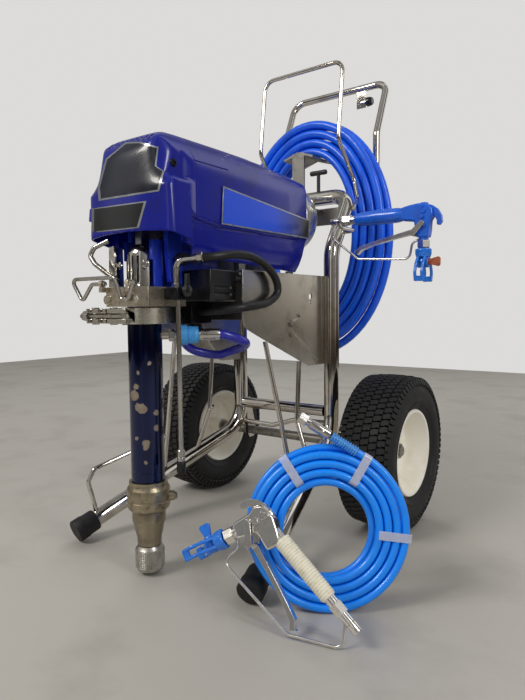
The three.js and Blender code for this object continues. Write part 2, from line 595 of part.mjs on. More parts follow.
add('lower_housing', make([atPump(turned([
  [intakeBore, lowerHousingLowZ], [30, lowerHousingLowZ], [lowerHousingRadius, 118], [lowerHousingRadius, 148], [32, 155],
  [32, cylinderLowZ - GAP + 0.3], [cylinderBore, cylinderLowZ], [cylinderBore, 142], [intakeBore, 130], [intakeBore, lowerHousingLowZ],
], 20)), rod(lugAt(30, 133), lugAt(45, 133), 9, 8)], [rod(lugAt(41, 120), lugAt(41, 150), 2.5, 6)]), 0xb09a78, 0.35);
add('intake_cone', atPump(turned([
  [9, coneLowZ], [coneLowRadius, coneLowZ], [coneLowRadius + 1, 66], [coneTopRadius - 2, 88], [coneTopRadius, lowerHousingLowZ - GAP],
  [9, lowerHousingLowZ - GAP], [9, coneLowZ],
], 16)), 0xa39c8e, 0.35);
add('intake_ball', new THREE.SphereGeometry(11, 8, 6).translate(0, pumpY, lowerHousingLowZ + 6.8), 0xd8d8dc, 0.1);
const knurl = new THREE.Shape();
for (let i = 0; i < knurlCount * 2; i++) {
  const a = (i / (knurlCount * 2)) * 2 * Math.PI;
  const r = i % 2 ? nutRadius : nutRadius - 1.6;
  if (i) knurl.lineTo(r * Math.cos(a), r * Math.sin(a));
  else knurl.moveTo(r, 0);
}
knurl.closePath();
add('intake_nut', make([
  atPump(alongZ(knurl, nutLowZ + 4, coneLowZ - nutLowZ - 10)), rod(V(0, pumpY, nutLowZ), V(0, pumpY, nutLowZ + 6), 20, 16, 23),
  rod(V(0, pumpY, coneLowZ - 8), V(0, pumpY, coneLowZ - GAP), 23, 16, 20),
], [rod(V(0, pumpY, 0), V(0, pumpY, 60), 9, 14)]), 0xb8b4ac, 0.4);

// clamp ring: split band with a forked ear, a hinge lug and a swing bolt in front
const clampTop = clampLowZ + clampHeight;
const boltZ = clampLowZ + clampHeight / 2;
const boltX = 12, boltY = pumpY - 50;
const clampSlot = (x0, x1) => box(x0, x1, boltY - 12, boltY + 10, boltZ - 4.6, boltZ + 4.6);
add('clamp_ring', make([
  ringAround(cylinderRadius - 4, clampRadius, clampLowZ, clampTop),
  box(-76, -27.5, boltY - 8, pumpY - 12, clampLowZ + 1, clampTop - 1), box(-23, 21, boltY - 9, pumpY - 30, clampLowZ + 1, clampTop - 1),
], [
  rod(V(0, pumpY, 400), V(0, pumpY, 460), cylinderRadius + 3 * GAP, 20), box(-27.5, -23, pumpY - 70, pumpY - 8, 400, 460),
  clampSlot(-80, 26),
]), CAST, 0.35);
add('swing_bolt', make([
  rod(V(boltX, boltY, boltZ - 4), V(boltX, boltY, boltZ + 4), 7.6, 14), rod(V(boltX, boltY, boltZ), V(-94, boltY, boltZ), 3.8, 8),
  rod(V(-90, boltY, boltZ), V(-77, boltY, boltZ), 9, 6),
], [rod(V(boltX, boltY, boltZ - 9), V(boltX, boltY, boltZ + 9), 2.6, 12)]), STEEL, 0.3);

// ---------------------------------------------------------------- control box, manifold, valve, drain
const junctionX0 = 32.4, junctionX1 = 100, junctionY0 = -388, junctionY1 = -322.4;
add('junction_box', make([box(junctionX0, junctionX1, junctionY0, junctionY1, 460, 512)], [
  box(junctionX1 - 3, junctionX1 + 1, junctionY0 + 10, junctionY1 - 12, 470, 474), box(junctionX1 - 3, junctionX1 + 1, junctionY0 + 10, junctionY1 - 12, 482, 486),
]), BLACK, 0.6, 0.1);
const manifoldX1 = 46, manifoldLowZ = 422;
add('filter_manifold', make([
  box(-24, manifoldX1, -376, -324, manifoldLowZ, 459.6), rod(V(24, -346, manifoldLowZ - 20), V(24, -346, manifoldLowZ + 1), 14, 12),
]), BLACK, 0.5, 0.3);
const valveX = blockHalfX + GAP;
const drainX = 66, drainY = pumpY + 12;

add('prime_lever', make([rod(V(82.4, drainY, 476), V(90, drainY, 476), 9, 12), box(84, 89, drainY - 4, drainY + 4, 476, 503)]), 0x1c1d20, 0.5, 0.1);
add('prime_valve', make([
  box(valveX, 78, drainY - 14, drainY + 14, 462, 482), rod(V(77, drainY, 476), V(82, drainY, 476), 6, 10),
  rod(V(drainX, drainY, 184), V(drainX, drainY, 464), 4, 10), rod(V(drainX, drainY, 197), V(drainX, drainY, 219), 6.5, 6),
  rod(V(drainX, drainY, 181), V(drainX, drainY, 198), 7.5, 10),
]), BLACK, 0.5, 0.2);
add('swivel_nut', make([rod(outAt(52.4), outAt(70), 17, 10), rod(outAt(69), outAt(88), 14.5, 10)]), 0x3f9be6, 0.4, 0);
const whipR = 7.8, turnR = 44;
const whipStart = outAt(124);
const aside = V(-Math.SQRT1_2, Math.SQRT1_2, 0);
const whipPoints = [whipStart];
for (let k = 0; k <= 8; k++) {
  const a = (k / 8) * Math.PI;
  whipPoints.push(whipStart.clone().addScaledVector(outDir, 6 + turnR * Math.sin(a)).addScaledVector(aside, turnR * (1 - Math.cos(a))).add(V(0, 0, -3.6 * k)));
}
const whipEnd = V(-8, -345, manifoldLowZ - GAP);
whipPoints.push(V(0, -322, 372), V(-7, -338, 386), whipEnd.clone().add(V(0, 0, -14)), whipEnd);
add('whip_hose', make([rod(outAt(88.4), outAt(125), 10.5, 12), smoothTube(whipPoints, whipR, 8, 16)]), 0x2a2596, 0.35, 0);
add('conduit_hose', smoothTube([
  V(52.4, -412, 528), V(64, -412, 528), V(86, -410, 528), V(110, -390, 531), V(124, -350, 536), V(127, -310, 534), V(127, -268, 520), V(127, -240, 498),
  V(127, -236, 476), V(127, -262, 459), V(127, -302, 452), V(122, -332, 449), V(106, -350, 446), V(84, -356, 444), V(62, -356, 443), V(manifoldX1 + GAP, -356, 443),
], 7, 7, 20), BLACK, 0.6, 0);

// control housing under the deck, its panel facing back between the posts
const panelY = -76;
add('control_housing', make([box(-92, 92, -190, panelY, 424, deckZ - GAP)], [box(-86, 86, panelY - 3, panelY + 1, 430, 497)]), BLACK, 0.6, 0.1);
const knobX = 44, knobZ = 462;
add('pressure_knob', make([rod(V(knobX, panelY - 2.6, knobZ), V(knobX, panelY + 6, knobZ), 20, 14), rod(V(knobX, panelY + 5, knobZ), V(knobX, panelY + 24, knobZ), 17, 12, 15)]), BLACK, 0.5, 0);
add('power_switch', alongX(outline([
  [panelY - 0.9, 450], [panelY - 2.7, 462], [panelY - 0.9, 474], [panelY + 6, 474], [panelY + 2, 462], [panelY + 3, 450],
]), -52, 16), BLACK, 0.5, 0);

// ---------------------------------------------------------------- hoses: each coil is one unbroken tube
// layers of turns that spiral in and out again at a steady rate; each climb takes the half turn about a reversal
function coilPoints({ layers, turns, pitchStep, diameter, halfU, halfV, start }) {
  const list = Array.from({ length: Math.round(layers * turns * coilSteps) + 1 }, (_, i) => {
    const turn = i / coilSteps;
    const within = turn % (2 * turns);
    const inward = pitchStep * (within <= turns ? within : 2 * turns - within);
    let across = (-(layers - 1) * pitchStep) / 2;
    for (let k = 1; k < layers; k++) across += pitchStep * THREE.MathUtils.clamp(2 * (turn - k * turns) + 0.5, 0, 1);
    const a = start + 2 * Math.PI * turn;
    return V((halfU - inward) * Math.cos(a), (halfV - inward) * Math.sin(a), across);
  });
  const runOut = (end, before) => end.clone().addScaledVector(V().subVectors(end, before).normalize(), diameter);
  const last = list.length - 1;
  return [runOut(list[0], list[1]), ...list, runOut(list[last], list[last - 1])];
}

// least distance between parts of the coil more than a third of a turn apart, less the diameter
function leastGap(points, diameter) {
  let least = Infinity;
  const near = V();
  const line = new THREE.Line3();
  for (let i = 0; i < points.length; i++) {
    for (let j = i + Math.ceil(coilSteps / 3); j < points.length - 1; j++) {
      line.set(points[j], points[j + 1]).closestPointToPoint(points[i], true, near);
      least = Math.min(least, near.distanceTo(points[i]));
    }
  }
  return least - diameter;
}

// five-sided tube whose section is kept square to the path and turned alike all along it
function coilTube(points, radius, faceNormal, sides = 5) {
  const n = points.length;
  const position = [];
  const index = [];
  for (let i = 0; i < n; i++) {
    const t = V().subVectors(points[Math.min(i + 1, n - 1)], points[Math.max(i - 1, 0)]).normalize();
    const out = V().crossVectors(t, faceNormal).normalize();
    const up = V().crossVectors(out, t);
    for (let k = 0; k < sides; k++) {
      const a = ((k + 0.5) / sides) * 2 * Math.PI;
      const q = points[i].clone().addScaledVector(out, radius * Math.cos(a)).addScaledVector(up, radius * Math.sin(a));
      position.push(q.x, q.y, q.z);
      const next = (k + 1) % sides;
      if (i) index.push((i - 1) * sides + k, i * sides + k, (i - 1) * sides + next, i * sides + k, i * sides + next, (i - 1) * sides + next);
    }
  }
  for (let k = 1; k < sides - 1; k++) index.push(0, k, k + 1, (n - 1) * sides, (n - 1) * sides + k + 1, (n - 1) * sides + k);
  const g = new THREE.BufferGeometry();
  g.setAttribute('position', new THREE.Float32BufferAttribute(position, 3));
  g.setIndex(index);
  return g;
}
function hoseCoil(name, options, origin, axisU, axisV, color) {
  const local = coilPoints(options);
  console.log(`${name}: least gap between turns ${leastGap(local, options.diameter).toFixed(2)} mm`);
  const normal = V().crossVectors(axisU, axisV);
  const points = local.map((q) => origin.clone()
    .addScaledVector(axisU, q.x).addScaledVector(axisV, q.y).addScaledVector(normal, q.z));
  add(name, coilTube(points, options.diameter / 2, normal), color, 0.35, 0);
  return points;
}
hoseCoil('rear_hose_coil', {
  layers: rearHoseLayers, turns: rearHoseTurns, pitchStep: rearHosePitch, diameter: rearHoseDiameter,
  halfU: rearCoilHalfX - rearHoseDiameter / 2, halfV: rearCoilHalfZ - rearHoseDiameter / 2, start: deg(rearCoilStart),
}, V(rearCoilX, rearCoilY, rearCoilZ), V(1, 0, 0), V(0, 0, 1), 0x1247e0);
const frontAz = deg(frontCoilAzimuth), frontTilt = deg(frontCoilLean);
const frontU = V(Math.cos(frontAz), Math.sin(frontAz), 0);
const frontV = V(-Math.sin(frontAz) * Math.sin(frontTilt), Math.cos(frontAz) * Math.sin(frontTilt), Math.cos(frontTilt));
const frontOptions = {
  layers: frontHoseLayers, turns: frontHoseTurns, pitchStep: frontHosePitch, diameter: frontHoseDiameter,
  halfU: frontCoilRadius, halfV: frontCoilRadius, start: deg(frontCoilStart),
};
// the lowest turn rests on the floor
const frontNormalZ = V().crossVectors(frontU, frontV).z;
const frontLow = Math.min(...coilPoints(frontOptions).map((q) => q.y * frontV.z + q.z * frontNormalZ));
const frontOrigin = V(...frontCoilFoot, 0).addScaledVector(frontV, frontCoilRadius).setZ(frontHoseDiameter / 2 + GAP - frontLow);
const frontHose = hoseCoil('front_hose_coil', frontOptions, frontOrigin, frontU, frontV, 0x1a8cff);
// bend guard, crimped ferrule and swivel nut on the hose's free end, in line with its straight run
const hoseTail = frontHose[frontHose.length - 1];
const hoseTailDir = V().subVectors(hoseTail, frontHose[frontHose.length - 2]).normalize();
const tailAt = (d) => hoseTail.clone().addScaledVector(hoseTailDir, d);
add('front_hose_end', make([
  rod(tailAt(GAP), tailAt(48), 7, 8, 8.4), rod(tailAt(47), tailAt(84), 8, 8), rod(tailAt(83), tailAt(90), 6, 8), rod(tailAt(89), tailAt(103), 10, 6),
], [rod(tailAt(94), tailAt(110), 5, 6)]), CHROME, 0.25);

// ---------------------------------------------------------------- hose rack, saddle, handle, pull pin
const rackAt = (s) => [V(s * 143.5, 30, 658), V(s * 140, 92, 704), V(s * 125, 104, 742), V(s * 104, 34, 812), V(s * 104, 57, 985)];
add('rack_wire', tube([...rackAt(-1), ...rackAt(1).reverse()], 24, rodRadius, 6, 1), CHROME, 0.2);
const rearBand = (rearHoseTurns - 0.5) * rearHosePitch + rearHoseDiameter; // at the top of the coil
const rearInnerX = rearCoilHalfX - rearBand;
const rearInnerZ = rearCoilHalfZ - rearBand;
const saddleHalf = 39;
const coilStep = (2 * Math.PI) / coilSteps;
const saddleSlope = (rearInnerZ * (1 - Math.cos(coilStep)) + rearHosePitch / coilSteps) / (rearInnerX * Math.sin(coilStep));
const saddleArc = (lower) => [-saddleHalf, 0, saddleHalf].map((u) =>
  [rearCoilX + u, rearCoilZ + rearInnerZ - 2 * GAP - saddleSlope * Math.abs(u) - lower]);
const archBackY = archY + tubeRadius + GAP;
const sleeveY = 172, sleeveTopZ = 712, handleX = 130, handleRadius = 8;
const handleLowZ = sleeveTopZ - 102;
add('hose_saddle', make([
  alongY(outline([...saddleArc(0), ...saddleArc(5).reverse()]), archBackY, 162 - archBackY),
  box(rearCoilX - 16, rearCoilX + 16, archBackY, archBackY + 5, 682, rearCoilZ + rearInnerZ - 3),
  box(rearCoilX - 16, rearCoilX + 16, archBackY, 160, 682, 687), box(-150, 150, 155.8, 159.8, 650, 690),
  ...[-1, 1].map((s) => rod(V(s * handleX, sleeveY, 640), V(s * handleX, sleeveY, sleeveTopZ), handleRadius + 4.4, 9)),
], [-1, 1].map((s) => rod(V(s * handleX, sleeveY, 600), V(s * handleX, sleeveY, 760), handleRadius + 1, 9))), STEEL, 0.35);
const handleTopZ = 985, handleTopY = 231, handleBendZ = 852;
const knobLineZ = handleTopZ - 35;
const gripPlate = box(50, 74, handleTopY - 2, handleTopY + 2, knobLineZ - 12, handleTopZ - 4);
add('cart_handle', make([tube([
  V(-handleX, sleeveY, handleLowZ), V(-handleX, sleeveY, handleBendZ), V(-handleX, handleTopY, handleTopZ), V(handleX, handleTopY, handleTopZ),
  V(handleX, sleeveY, handleBendZ), V(handleX, sleeveY, handleLowZ),
], 30, handleRadius, 8, 2), gripPlate, rod(V(62, handleTopY, knobLineZ), V(76, handleTopY, knobLineZ), 6, 10)]), CHROME, 0.2);
add('handle_knob', rod(V(76.4, handleTopY, knobLineZ), V(92, handleTopY, knobLineZ), 11, 12, 9), BLACK, 0.6, 0);
const teeX = 43;
add('pull_pin', make([
  rod(V(teeX, archY, archZ + tubeRadius + GAP + 0.2), V(teeX, archY, 752), 4, 8), rod(V(teeX - 21, archY, 752), V(teeX + 21, archY, 752), 5.5, 8),
]), BLACK, 0.5, 0.2);

// ---------------------------------------------------------------- spray guns
// own frame: origin where barrel and handle meet, +X down the handle, -Z down the barrel before it leans by lean degrees
function gun(prefix, holder, lean, colors) {
  part.add(holder);
  const put = (name, ...rest) => holder.add(add(`${prefix}_${name}`, ...rest));
  const barrel = (g) => g.rotateY(deg(lean));
  const onBarrel = (x, z) => V(x, 0, z).applyAxisAngle(V(0, 1, 0), deg(lean));
  const guard = tube([
    onBarrel(3, -46), onBarrel(22, -54), onBarrel(27, -84), V(134, 0, -78), V(196, 0, -30), V(174, 0, -3),
  ], 12, 2.2, 5, 1);
  const hook = barrel(tube([V(-12, 0, 8), V(-24, 0, 32), V(-46, 0, 28), V(-44, 0, 8)], 9, 3.6, 5, 1));
  const pivot = onBarrel(-2, -22);
  put('body', make([
    rod(V(-4, 0, 0), V(42, 0, 0), 9, 8, 10), rod(V(40, 0, 0), V(140, 0, 0), 12.5, 10, 11),
    rod(V(138, 0, 0), V(195, 0, 0), 7, 8), rod(V(150, 0, 0), V(166, 0, 0), 10.5, 6),
    barrel(rod(V(0, 0, 18), V(0, 0, -34), 14, 8, 12)), barrel(rod(V(0, 0, -30), V(0, 0, -66), 9, 8)), hook, guard,
    rod(V(pivot.x, -17.6, pivot.z), V(pivot.x, 17.6, pivot.z), 4, 6),
  ], [rod(V(186, 0, 0), V(199, 0, 0), 3.5, 6)]), ...colors.body);
  put('trigger', make([
    tube([V(15, 0, -42), V(30, 0, -43), V(145, 0, -34), V(156, 0, -40)], 10, 4.6, 5, 1),
    ...[-1, 1].map((s) => box(pivot.x - 5, 20, s * 16 - 1.2, s * 16 + 1.2, -46, pivot.z + 6)), box(14.4, 20, -16, 16, -46, -38),
  ], [rod(V(pivot.x, -20, pivot.z), V(pivot.x, 20, pivot.z), 4.7, 6)]), 0xb8b6b2, 0.25);
  put('tip_guard', barrel(make([
    rod(V(0, 0, -66.4), V(0, 0, -82), 15, 8, 13), rod(V(0, 0, -81), V(0, 0, -100), 11.5, 8),
    ...[-1, 1].map((s) => make([box(-9, 9, -2.2, 2.2, -44, 0)], [box(-5, 5, -6, 6, -32, -8)])
      .rotateX(deg(s * 24)).translate(0, s * 9, -84)),
  ], [rod(V(0, 0, -60), V(0, 0, -120), 4.5, 6), rod(V(-20, 0, -91), V(20, 0, -91), 6.8, 8)])), ...colors.guard);
  put('tip', barrel(make([
    rod(V(-14, 0, -91), V(12, 0, -91), 6, 8), box(-32, -13, -2.5, 2.5, -100, -82),
  ], [rod(V(0, 0, -80), V(0, 0, -100), 1.5, 4)])), ...colors.tip);
}
const rearHolder = new THREE.Group();
rearHolder.position.set(326, -44, 622);
rearHolder.rotation.z = Math.PI;
gun('rear_gun', rearHolder, 0, {
  body: [0x1a66d8, 0.35, 0.3], guard: [0x2f8ff0, 0.3, 0], tip: [0xb0603a, 0.5, 0],
});

// the second gun leans on the front coil, its inlet and the wire of its guard near the floor
const frontHolder = new THREE.Group();
const frontHandleDir = V(0.788, -0.016, -0.615).normalize();
const frontBarrelDir = V(-0.779, -0.378, -0.501);
const frontGunUp = frontBarrelDir.addScaledVector(frontHandleDir, -frontBarrelDir.dot(frontHandleDir)).normalize().negate();
frontHolder.quaternion.setFromRotationMatrix(
  new THREE.Matrix4().makeBasis(frontHandleDir, V().crossVectors(frontGunUp, frontHandleDir), frontGunUp));
frontHolder.position.set(238.4, -438, 143.6);
gun('front_gun', frontHolder, 17.5, { body: [CHROME, 0.2, 0.9], guard: [0x2f6fd8, 0.3, 0], tip: [0xb0603a, 0.5, 0] });

// ---------------------------------------------------------------- origin: bottom centre of the machine without its hoses
part.updateMatrixWorld(true);
const machineBox = new THREE.Box3();
for (const mesh of Object.values(meshes)) {
  if (!/hose_coil|hose_end/.test(mesh.name)) machineBox.expandByObject(mesh, true);
}
const originShift = machineBox.getCenter(V()).setZ(machineBox.min.z).negate();
part.position.copy(originShift);

export default part;
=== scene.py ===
import bpy, bmesh, math
from mathutils import Matrix, Vector
from mathutils.bvhtree import BVHTree
from mathutils.geometry import delaunay_2d_cdt


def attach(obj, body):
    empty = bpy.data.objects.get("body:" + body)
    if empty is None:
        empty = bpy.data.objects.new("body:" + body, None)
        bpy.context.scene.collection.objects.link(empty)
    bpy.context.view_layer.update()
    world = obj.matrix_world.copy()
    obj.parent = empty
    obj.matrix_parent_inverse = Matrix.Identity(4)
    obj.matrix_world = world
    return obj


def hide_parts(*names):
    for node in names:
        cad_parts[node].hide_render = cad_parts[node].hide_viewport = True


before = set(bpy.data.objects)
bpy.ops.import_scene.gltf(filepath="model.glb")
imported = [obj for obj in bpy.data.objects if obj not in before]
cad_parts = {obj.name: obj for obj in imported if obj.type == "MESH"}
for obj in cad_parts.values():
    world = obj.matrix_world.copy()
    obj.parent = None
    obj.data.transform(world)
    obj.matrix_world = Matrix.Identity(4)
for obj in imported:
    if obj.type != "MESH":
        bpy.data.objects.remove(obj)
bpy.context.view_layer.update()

# ------------------------------------------------------------------ studio
# A pale floor and a pale room round the machine, and the photograph's viewpoint: in front of the pump and to its right,
# a little under half a metre above the floor. Soft lamps hang high on both sides.

frame_x, frame_y = 46.042, -135.135  # the frame's origin in machine millimetres
photo_width, photo_height = 525, 700
focal_pixels = 574.23


def at(x, y, z):
    """A place in machine millimetres (axle at Y 0, pump at -Y) as metres in the frame."""
    return Vector(((x - frame_x) / 1000, (y - frame_y) / 1000, z / 1000))


def linear(code):
    """An sRGB hex colour as linear light."""
    parts = [int(code[i : i + 2], 16) / 255 for i in (1, 3, 5)]
    return (*[c / 12.92 if c <= 0.04045 else ((c + 0.055) / 1.055) ** 2.4 for c in parts], 1.0)


def add_node(tree, kind, settings=None, inputs=None):
    """One node with its settings, and its inputs as values or as links from other nodes' outputs."""
    node = tree.nodes.new(kind)
    for key, value in (settings or {}).items():
        setattr(node, key, value)
    for key, value in (inputs or {}).items():
        if isinstance(value, bpy.types.NodeSocket):
            tree.links.new(value, node.inputs[key])
        else:
            node.inputs[key].default_value = value
    return node


eye = at(717.1, -1095.9, 447.7)
turn, tip, roll = math.radians(35.99), math.radians(4.17), math.radians(-0.5)
forward = Vector((-math.sin(turn) * math.cos(tip), math.cos(turn) * math.cos(tip), -math.sin(tip)))
level = Vector((math.cos(turn), math.sin(turn), 0))
across = level * math.cos(roll) + level.cross(forward) * math.sin(roll)
upward = across.cross(forward)
camera = bpy.data.objects.new("camera", bpy.data.cameras.new("camera"))
bpy.context.scene.collection.objects.link(camera)
camera.matrix_world = Matrix.Translation(eye) @ Matrix((across, upward, -forward)).transposed().to_4x4()
camera.data.lens = 29.53
camera.data.clip_start = 0.02
bpy.context.scene.camera = camera
bpy.context.scene.view_settings.view_transform = "Standard"


def seen(u, v):
    """The direction from the eye through a pixel of the photograph."""
    return (forward * focal_pixels + across * (u - photo_width / 2) - upward * (v - photo_height / 2)).normalized()


def lamp(name, place, target, size, watts, tint="#ffffff", mirrored=True):
    """A rectangular soft lamp aimed at target; mirrored is False where it would glare in the bright tubes."""
    data = bpy.data.lights.new(name, "AREA")
    data.shape, data.size, data.size_y, data.energy, data.color = "RECTANGLE", size[0], size[1], watts, linear(tint)[:3]
    obj = bpy.data.objects.new(name, data)
    bpy.context.scene.collection.objects.link(obj)
    obj.visible_glossy = mirrored
    obj.matrix_world = Matrix.Translation(place) @ (target - place).to_track_quat("-Z", "Y").to_matrix().to_4x4()


middle = Vector((0, 0, 0.45))
lamp("key lamp", Vector((-0.9, -2.3, 2.4)), middle, (1.0, 0.8), 42, "#fffaf2")
lamp("side lamp", Vector((2.6, -0.6, 1.9)), middle, (0.5, 1.4), 24)
lamp("back lamp", Vector((-1.2, 2.2, 2.2)), middle, (1.6, 0.8), 22, "#ffffff", False)

world = bpy.data.worlds.new("room")
bpy.context.scene.world = world
world.use_nodes = True
tree = world.node_tree
tree.nodes.clear()
path = add_node(tree, "ShaderNodeLightPath")
seen_or_glossy = add_node(tree, "ShaderNodeMath", {"operation": "MAXIMUM"},
    {0: path.outputs["Is Camera Ray"], 1: path.outputs["Is Transmission Ray"]})
direction = add_node(tree, "ShaderNodeTexCoord")
height = add_node(tree, "ShaderNodeSeparateXYZ", None, {0: direction.outputs["Generated"]})
bearing = add_node(tree, "ShaderNodeTexGradient", {"gradient_type": "RADIAL"}, {0: direction.outputs["Generated"]})
bands = add_node(tree, "ShaderNodeValToRGB", None, {0: bearing.outputs[1]})
bands.color_ramp.interpolation = "EASE"
# light and dark uprights round the room, (part of the circle, brightness), that only reflections show
room_bands = ((0.04, 0.3), (0.1, 1.0), (0.14, 1.0), (0.17, 0.25), (0.27, 0.35), (0.3, 1.5), (0.33, 0.3), (0.45, 0.5),
    (0.52, 1.2), (0.56, 0.25), (0.648, 0.25), (0.664, 2.2), (0.7, 1.5), (0.76, 0.9), (0.8, 0.25), (0.9, 0.6))
for place, level in room_bands:
    bands.color_ramp.elements.new(place).color = (level, level, level, 1)
bands.color_ramp.elements[0].color = bands.color_ramp.elements[-1].color = (0.35, 0.35, 0.35, 1)
# and the same room from floor to ceiling: grey floor, dark skirting, pale wall
rise = add_node(tree, "ShaderNodeMapRange", None, {0: height.outputs[2], 1: -1.0, 2: 1.0})
wall = add_node(tree, "ShaderNodeValToRGB", None, {0: rise.outputs[0]})
wall.color_ramp.elements[0].color = linear("#5d5750")
wall.color_ramp.elements[0].position = 0.42
wall.color_ramp.elements[1].color = linear("#c9c9c9")
wall.color_ramp.elements[1].position = 0.62
for position, code in ((0.47, "#2c2723"), (0.5, "#8d857a"), (0.55, "#b3b0ab")):
    wall.color_ramp.elements.new(position).color = linear(code)
soft = add_node(tree, "ShaderNodeBackground", None, {0: linear("#f2efe9"), 1: 0.55})
banded = add_node(tree, "ShaderNodeMix", {"data_type": "RGBA", "blend_type": "MULTIPLY"},
    {0: 1.0, 6: wall.outputs[0], 7: bands.outputs[0]})
shiny = add_node(tree, "ShaderNodeBackground", None, {0: banded.outputs[2], 1: 1.0})
plain = add_node(tree, "ShaderNodeBackground", None, {0: linear("#dcdbd9"), 1: 1.0})
lit = add_node(tree, "ShaderNodeMixShader", None, {0: path.outputs["Is Glossy Ray"], 1: soft.outputs[0],
    2: shiny.outputs[0]})
room = add_node(tree, "ShaderNodeMixShader", None, {0: seen_or_glossy.outputs[0], 1: lit.outputs[0],
    2: plain.outputs[0]})
add_node(tree, "ShaderNodeOutputWorld", None, {0: room.outputs[0]})


def finish(name, colour, second=None, patch=30.0, share=0.5, rough=(0.4, 0.5), metallic=0.0, grain=0.8, height=0.0,
        coat=0.0, clear=0.0, stretch=(1, 1, 1), spots=None):
    """A finish of two tones in patches that many millimetres across, with a grain of its own size and height in
    millimetres. spots = (colour, millimetres, share of the noise's tops) adds rust, grime or chips. A real grain finer
    than half a millimetre is drawn at half a millimetre or more, or it wouldn't show."""
    material = bpy.data.materials.new(name)
    material.use_nodes = True
    tree = material.node_tree
    tree.nodes.clear()
    where = add_node(tree, "ShaderNodeTexCoord")
    where = add_node(tree, "ShaderNodeMapping", None, {0: where.outputs["Object"], 3: stretch}).outputs[0]
    patches = add_node(tree, "ShaderNodeTexNoise", None, {"Vector": where, "Scale": 1000 / patch, "Detail": 5.0,
        "Roughness": 0.6}).outputs[0]
    amount = add_node(tree, "ShaderNodeMapRange", None, {0: patches, 1: 0.66 - share * 0.32,
        2: 0.76 - share * 0.24}).outputs[0]
    tone = add_node(tree, "ShaderNodeMix", {"data_type": "RGBA"},
        {0: amount, 6: linear(colour), 7: linear(second or colour)}).outputs[2]
    dull = add_node(tree, "ShaderNodeMapRange", None, {0: patches, 1: 0.3, 2: 0.7, 3: rough[0], 4: rough[1]}).outputs[0]
    metal = metallic
    if spots:
        spot = add_node(tree, "ShaderNodeTexNoise", None, {"Vector": where, "Scale": 1000 / spots[1], "Detail": 6.0,
            "Roughness": 0.7}).outputs[0]
        spot = add_node(tree, "ShaderNodeMapRange", None, {0: spot, 1: 1 - spots[2], 2: 1.04 - spots[2]}).outputs[0]
        tone = add_node(tree, "ShaderNodeMix", {"data_type": "RGBA"},
            {0: spot, 6: tone, 7: linear(spots[0])}).outputs[2]
        dull = add_node(tree, "ShaderNodeMix", None, {0: spot, 2: dull, 3: 0.6}).outputs[0]
        if metallic:
            lost = add_node(tree, "ShaderNodeMath", {"operation": "MULTIPLY"}, {0: spot, 1: metallic * 0.6}).outputs[0]
            metal = add_node(tree, "ShaderNodeMath", {"operation": "SUBTRACT"}, {0: metallic, 1: lost}).outputs[0]
    inputs = {"Base Color": tone, "Roughness": dull, "Metallic": metal, "Coat Weight": coat, "Coat Roughness": 0.06,
        "Transmission Weight": clear}
    if height:
        fine = add_node(tree, "ShaderNodeTexNoise", None, {"Vector": where, "Scale": 1000 / grain,
            "Detail": 3.0}).outputs[0]
        inputs["Normal"] = add_node(tree, "ShaderNodeBump", None,
            {"Strength": 1.0, "Distance": height / 1000, "Height": fine}).outputs[0]
    shader = add_node(tree, "ShaderNodeBsdfPrincipled", None, inputs)
    add_node(tree, "ShaderNodeOutputMaterial", None, {0: shader.outputs[0]})
    return material


def round_edges(obj, millimetres, degrees):
    """Rounds the edges that are sharper than that angle."""
    edge = obj.modifiers.new("rounded edges", "BEVEL")
    edge.width, edge.segments = millimetres / 1000, 2
    edge.limit_method, edge.angle_limit = "ANGLE", math.radians(degrees)


def shape(name, parts, material, bevel=0.0, crease=35):
    """One mesh from lists of (points in machine millimetres, faces), its faces outwards, smooth up to that crease."""
    mesh = bpy.data.meshes.new(name)
    points, faces = [], []
    for p, f in parts:
        faces += [[i + len(points) for i in face] for face in f]
        points += [at(*q) for q in p]
    mesh.from_pydata(points, [], faces)
    work = bmesh.new()
    work.from_mesh(mesh)
    bmesh.ops.remove_doubles(work, verts=work.verts, dist=1e-6)
    bmesh.ops.recalc_face_normals(work, faces=work.faces)
    work.to_mesh(mesh)
    work.free()
    mesh.shade_smooth()
    mesh.set_sharp_from_angle(angle=math.radians(crease))
    mesh.materials.append(material)
    obj = bpy.data.objects.new(name, mesh)
    bpy.context.scene.collection.objects.link(obj)
    if bevel:
        round_edges(obj, bevel, 40)
    return obj


# Smoothed concrete, painted and dusty: pale grey in wide faint clouds, too dull to mirror the machine clearly.
floor_finish = finish("painted concrete floor", "#b3b0aa", "#a8a59f", patch=260, rough=(0.32, 0.5), grain=3,
    height=0.05)
floor_z = -0.6  # just under the tyres, so that nothing shares its plane
floor_corners = [(-4000, -4000, floor_z), (4000, -4000, floor_z), (4000, 3000, floor_z), (-4000, 3000, floor_z)]
floor = shape("floor", [(floor_corners, [(0, 1, 2, 3)])], floor_finish)

# ------------------------------------------------------------------ hoses
# Two coils of smooth blue polyurethane hose, each one length wound in two layers that spiral in and out again. The
# thick one hangs on the saddle behind the motor; the thin one, held by three bands of clear tape, leans on the near
# foot with its steel end fitting pointing up.


def settled(piece, body, slot, *nodes):
    """The piece rides on its body and stands for its CAD nodes; slot is not used."""
    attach(piece, body)
    if nodes:
        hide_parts(*nodes)
    return piece


def made(name, parts, material, body, slot, *nodes, bevel=0.0, crease=35):
    """A new mesh, settled in its place."""
    return settled(shape(name, parts, material, bevel, crease), body, slot, *nodes)


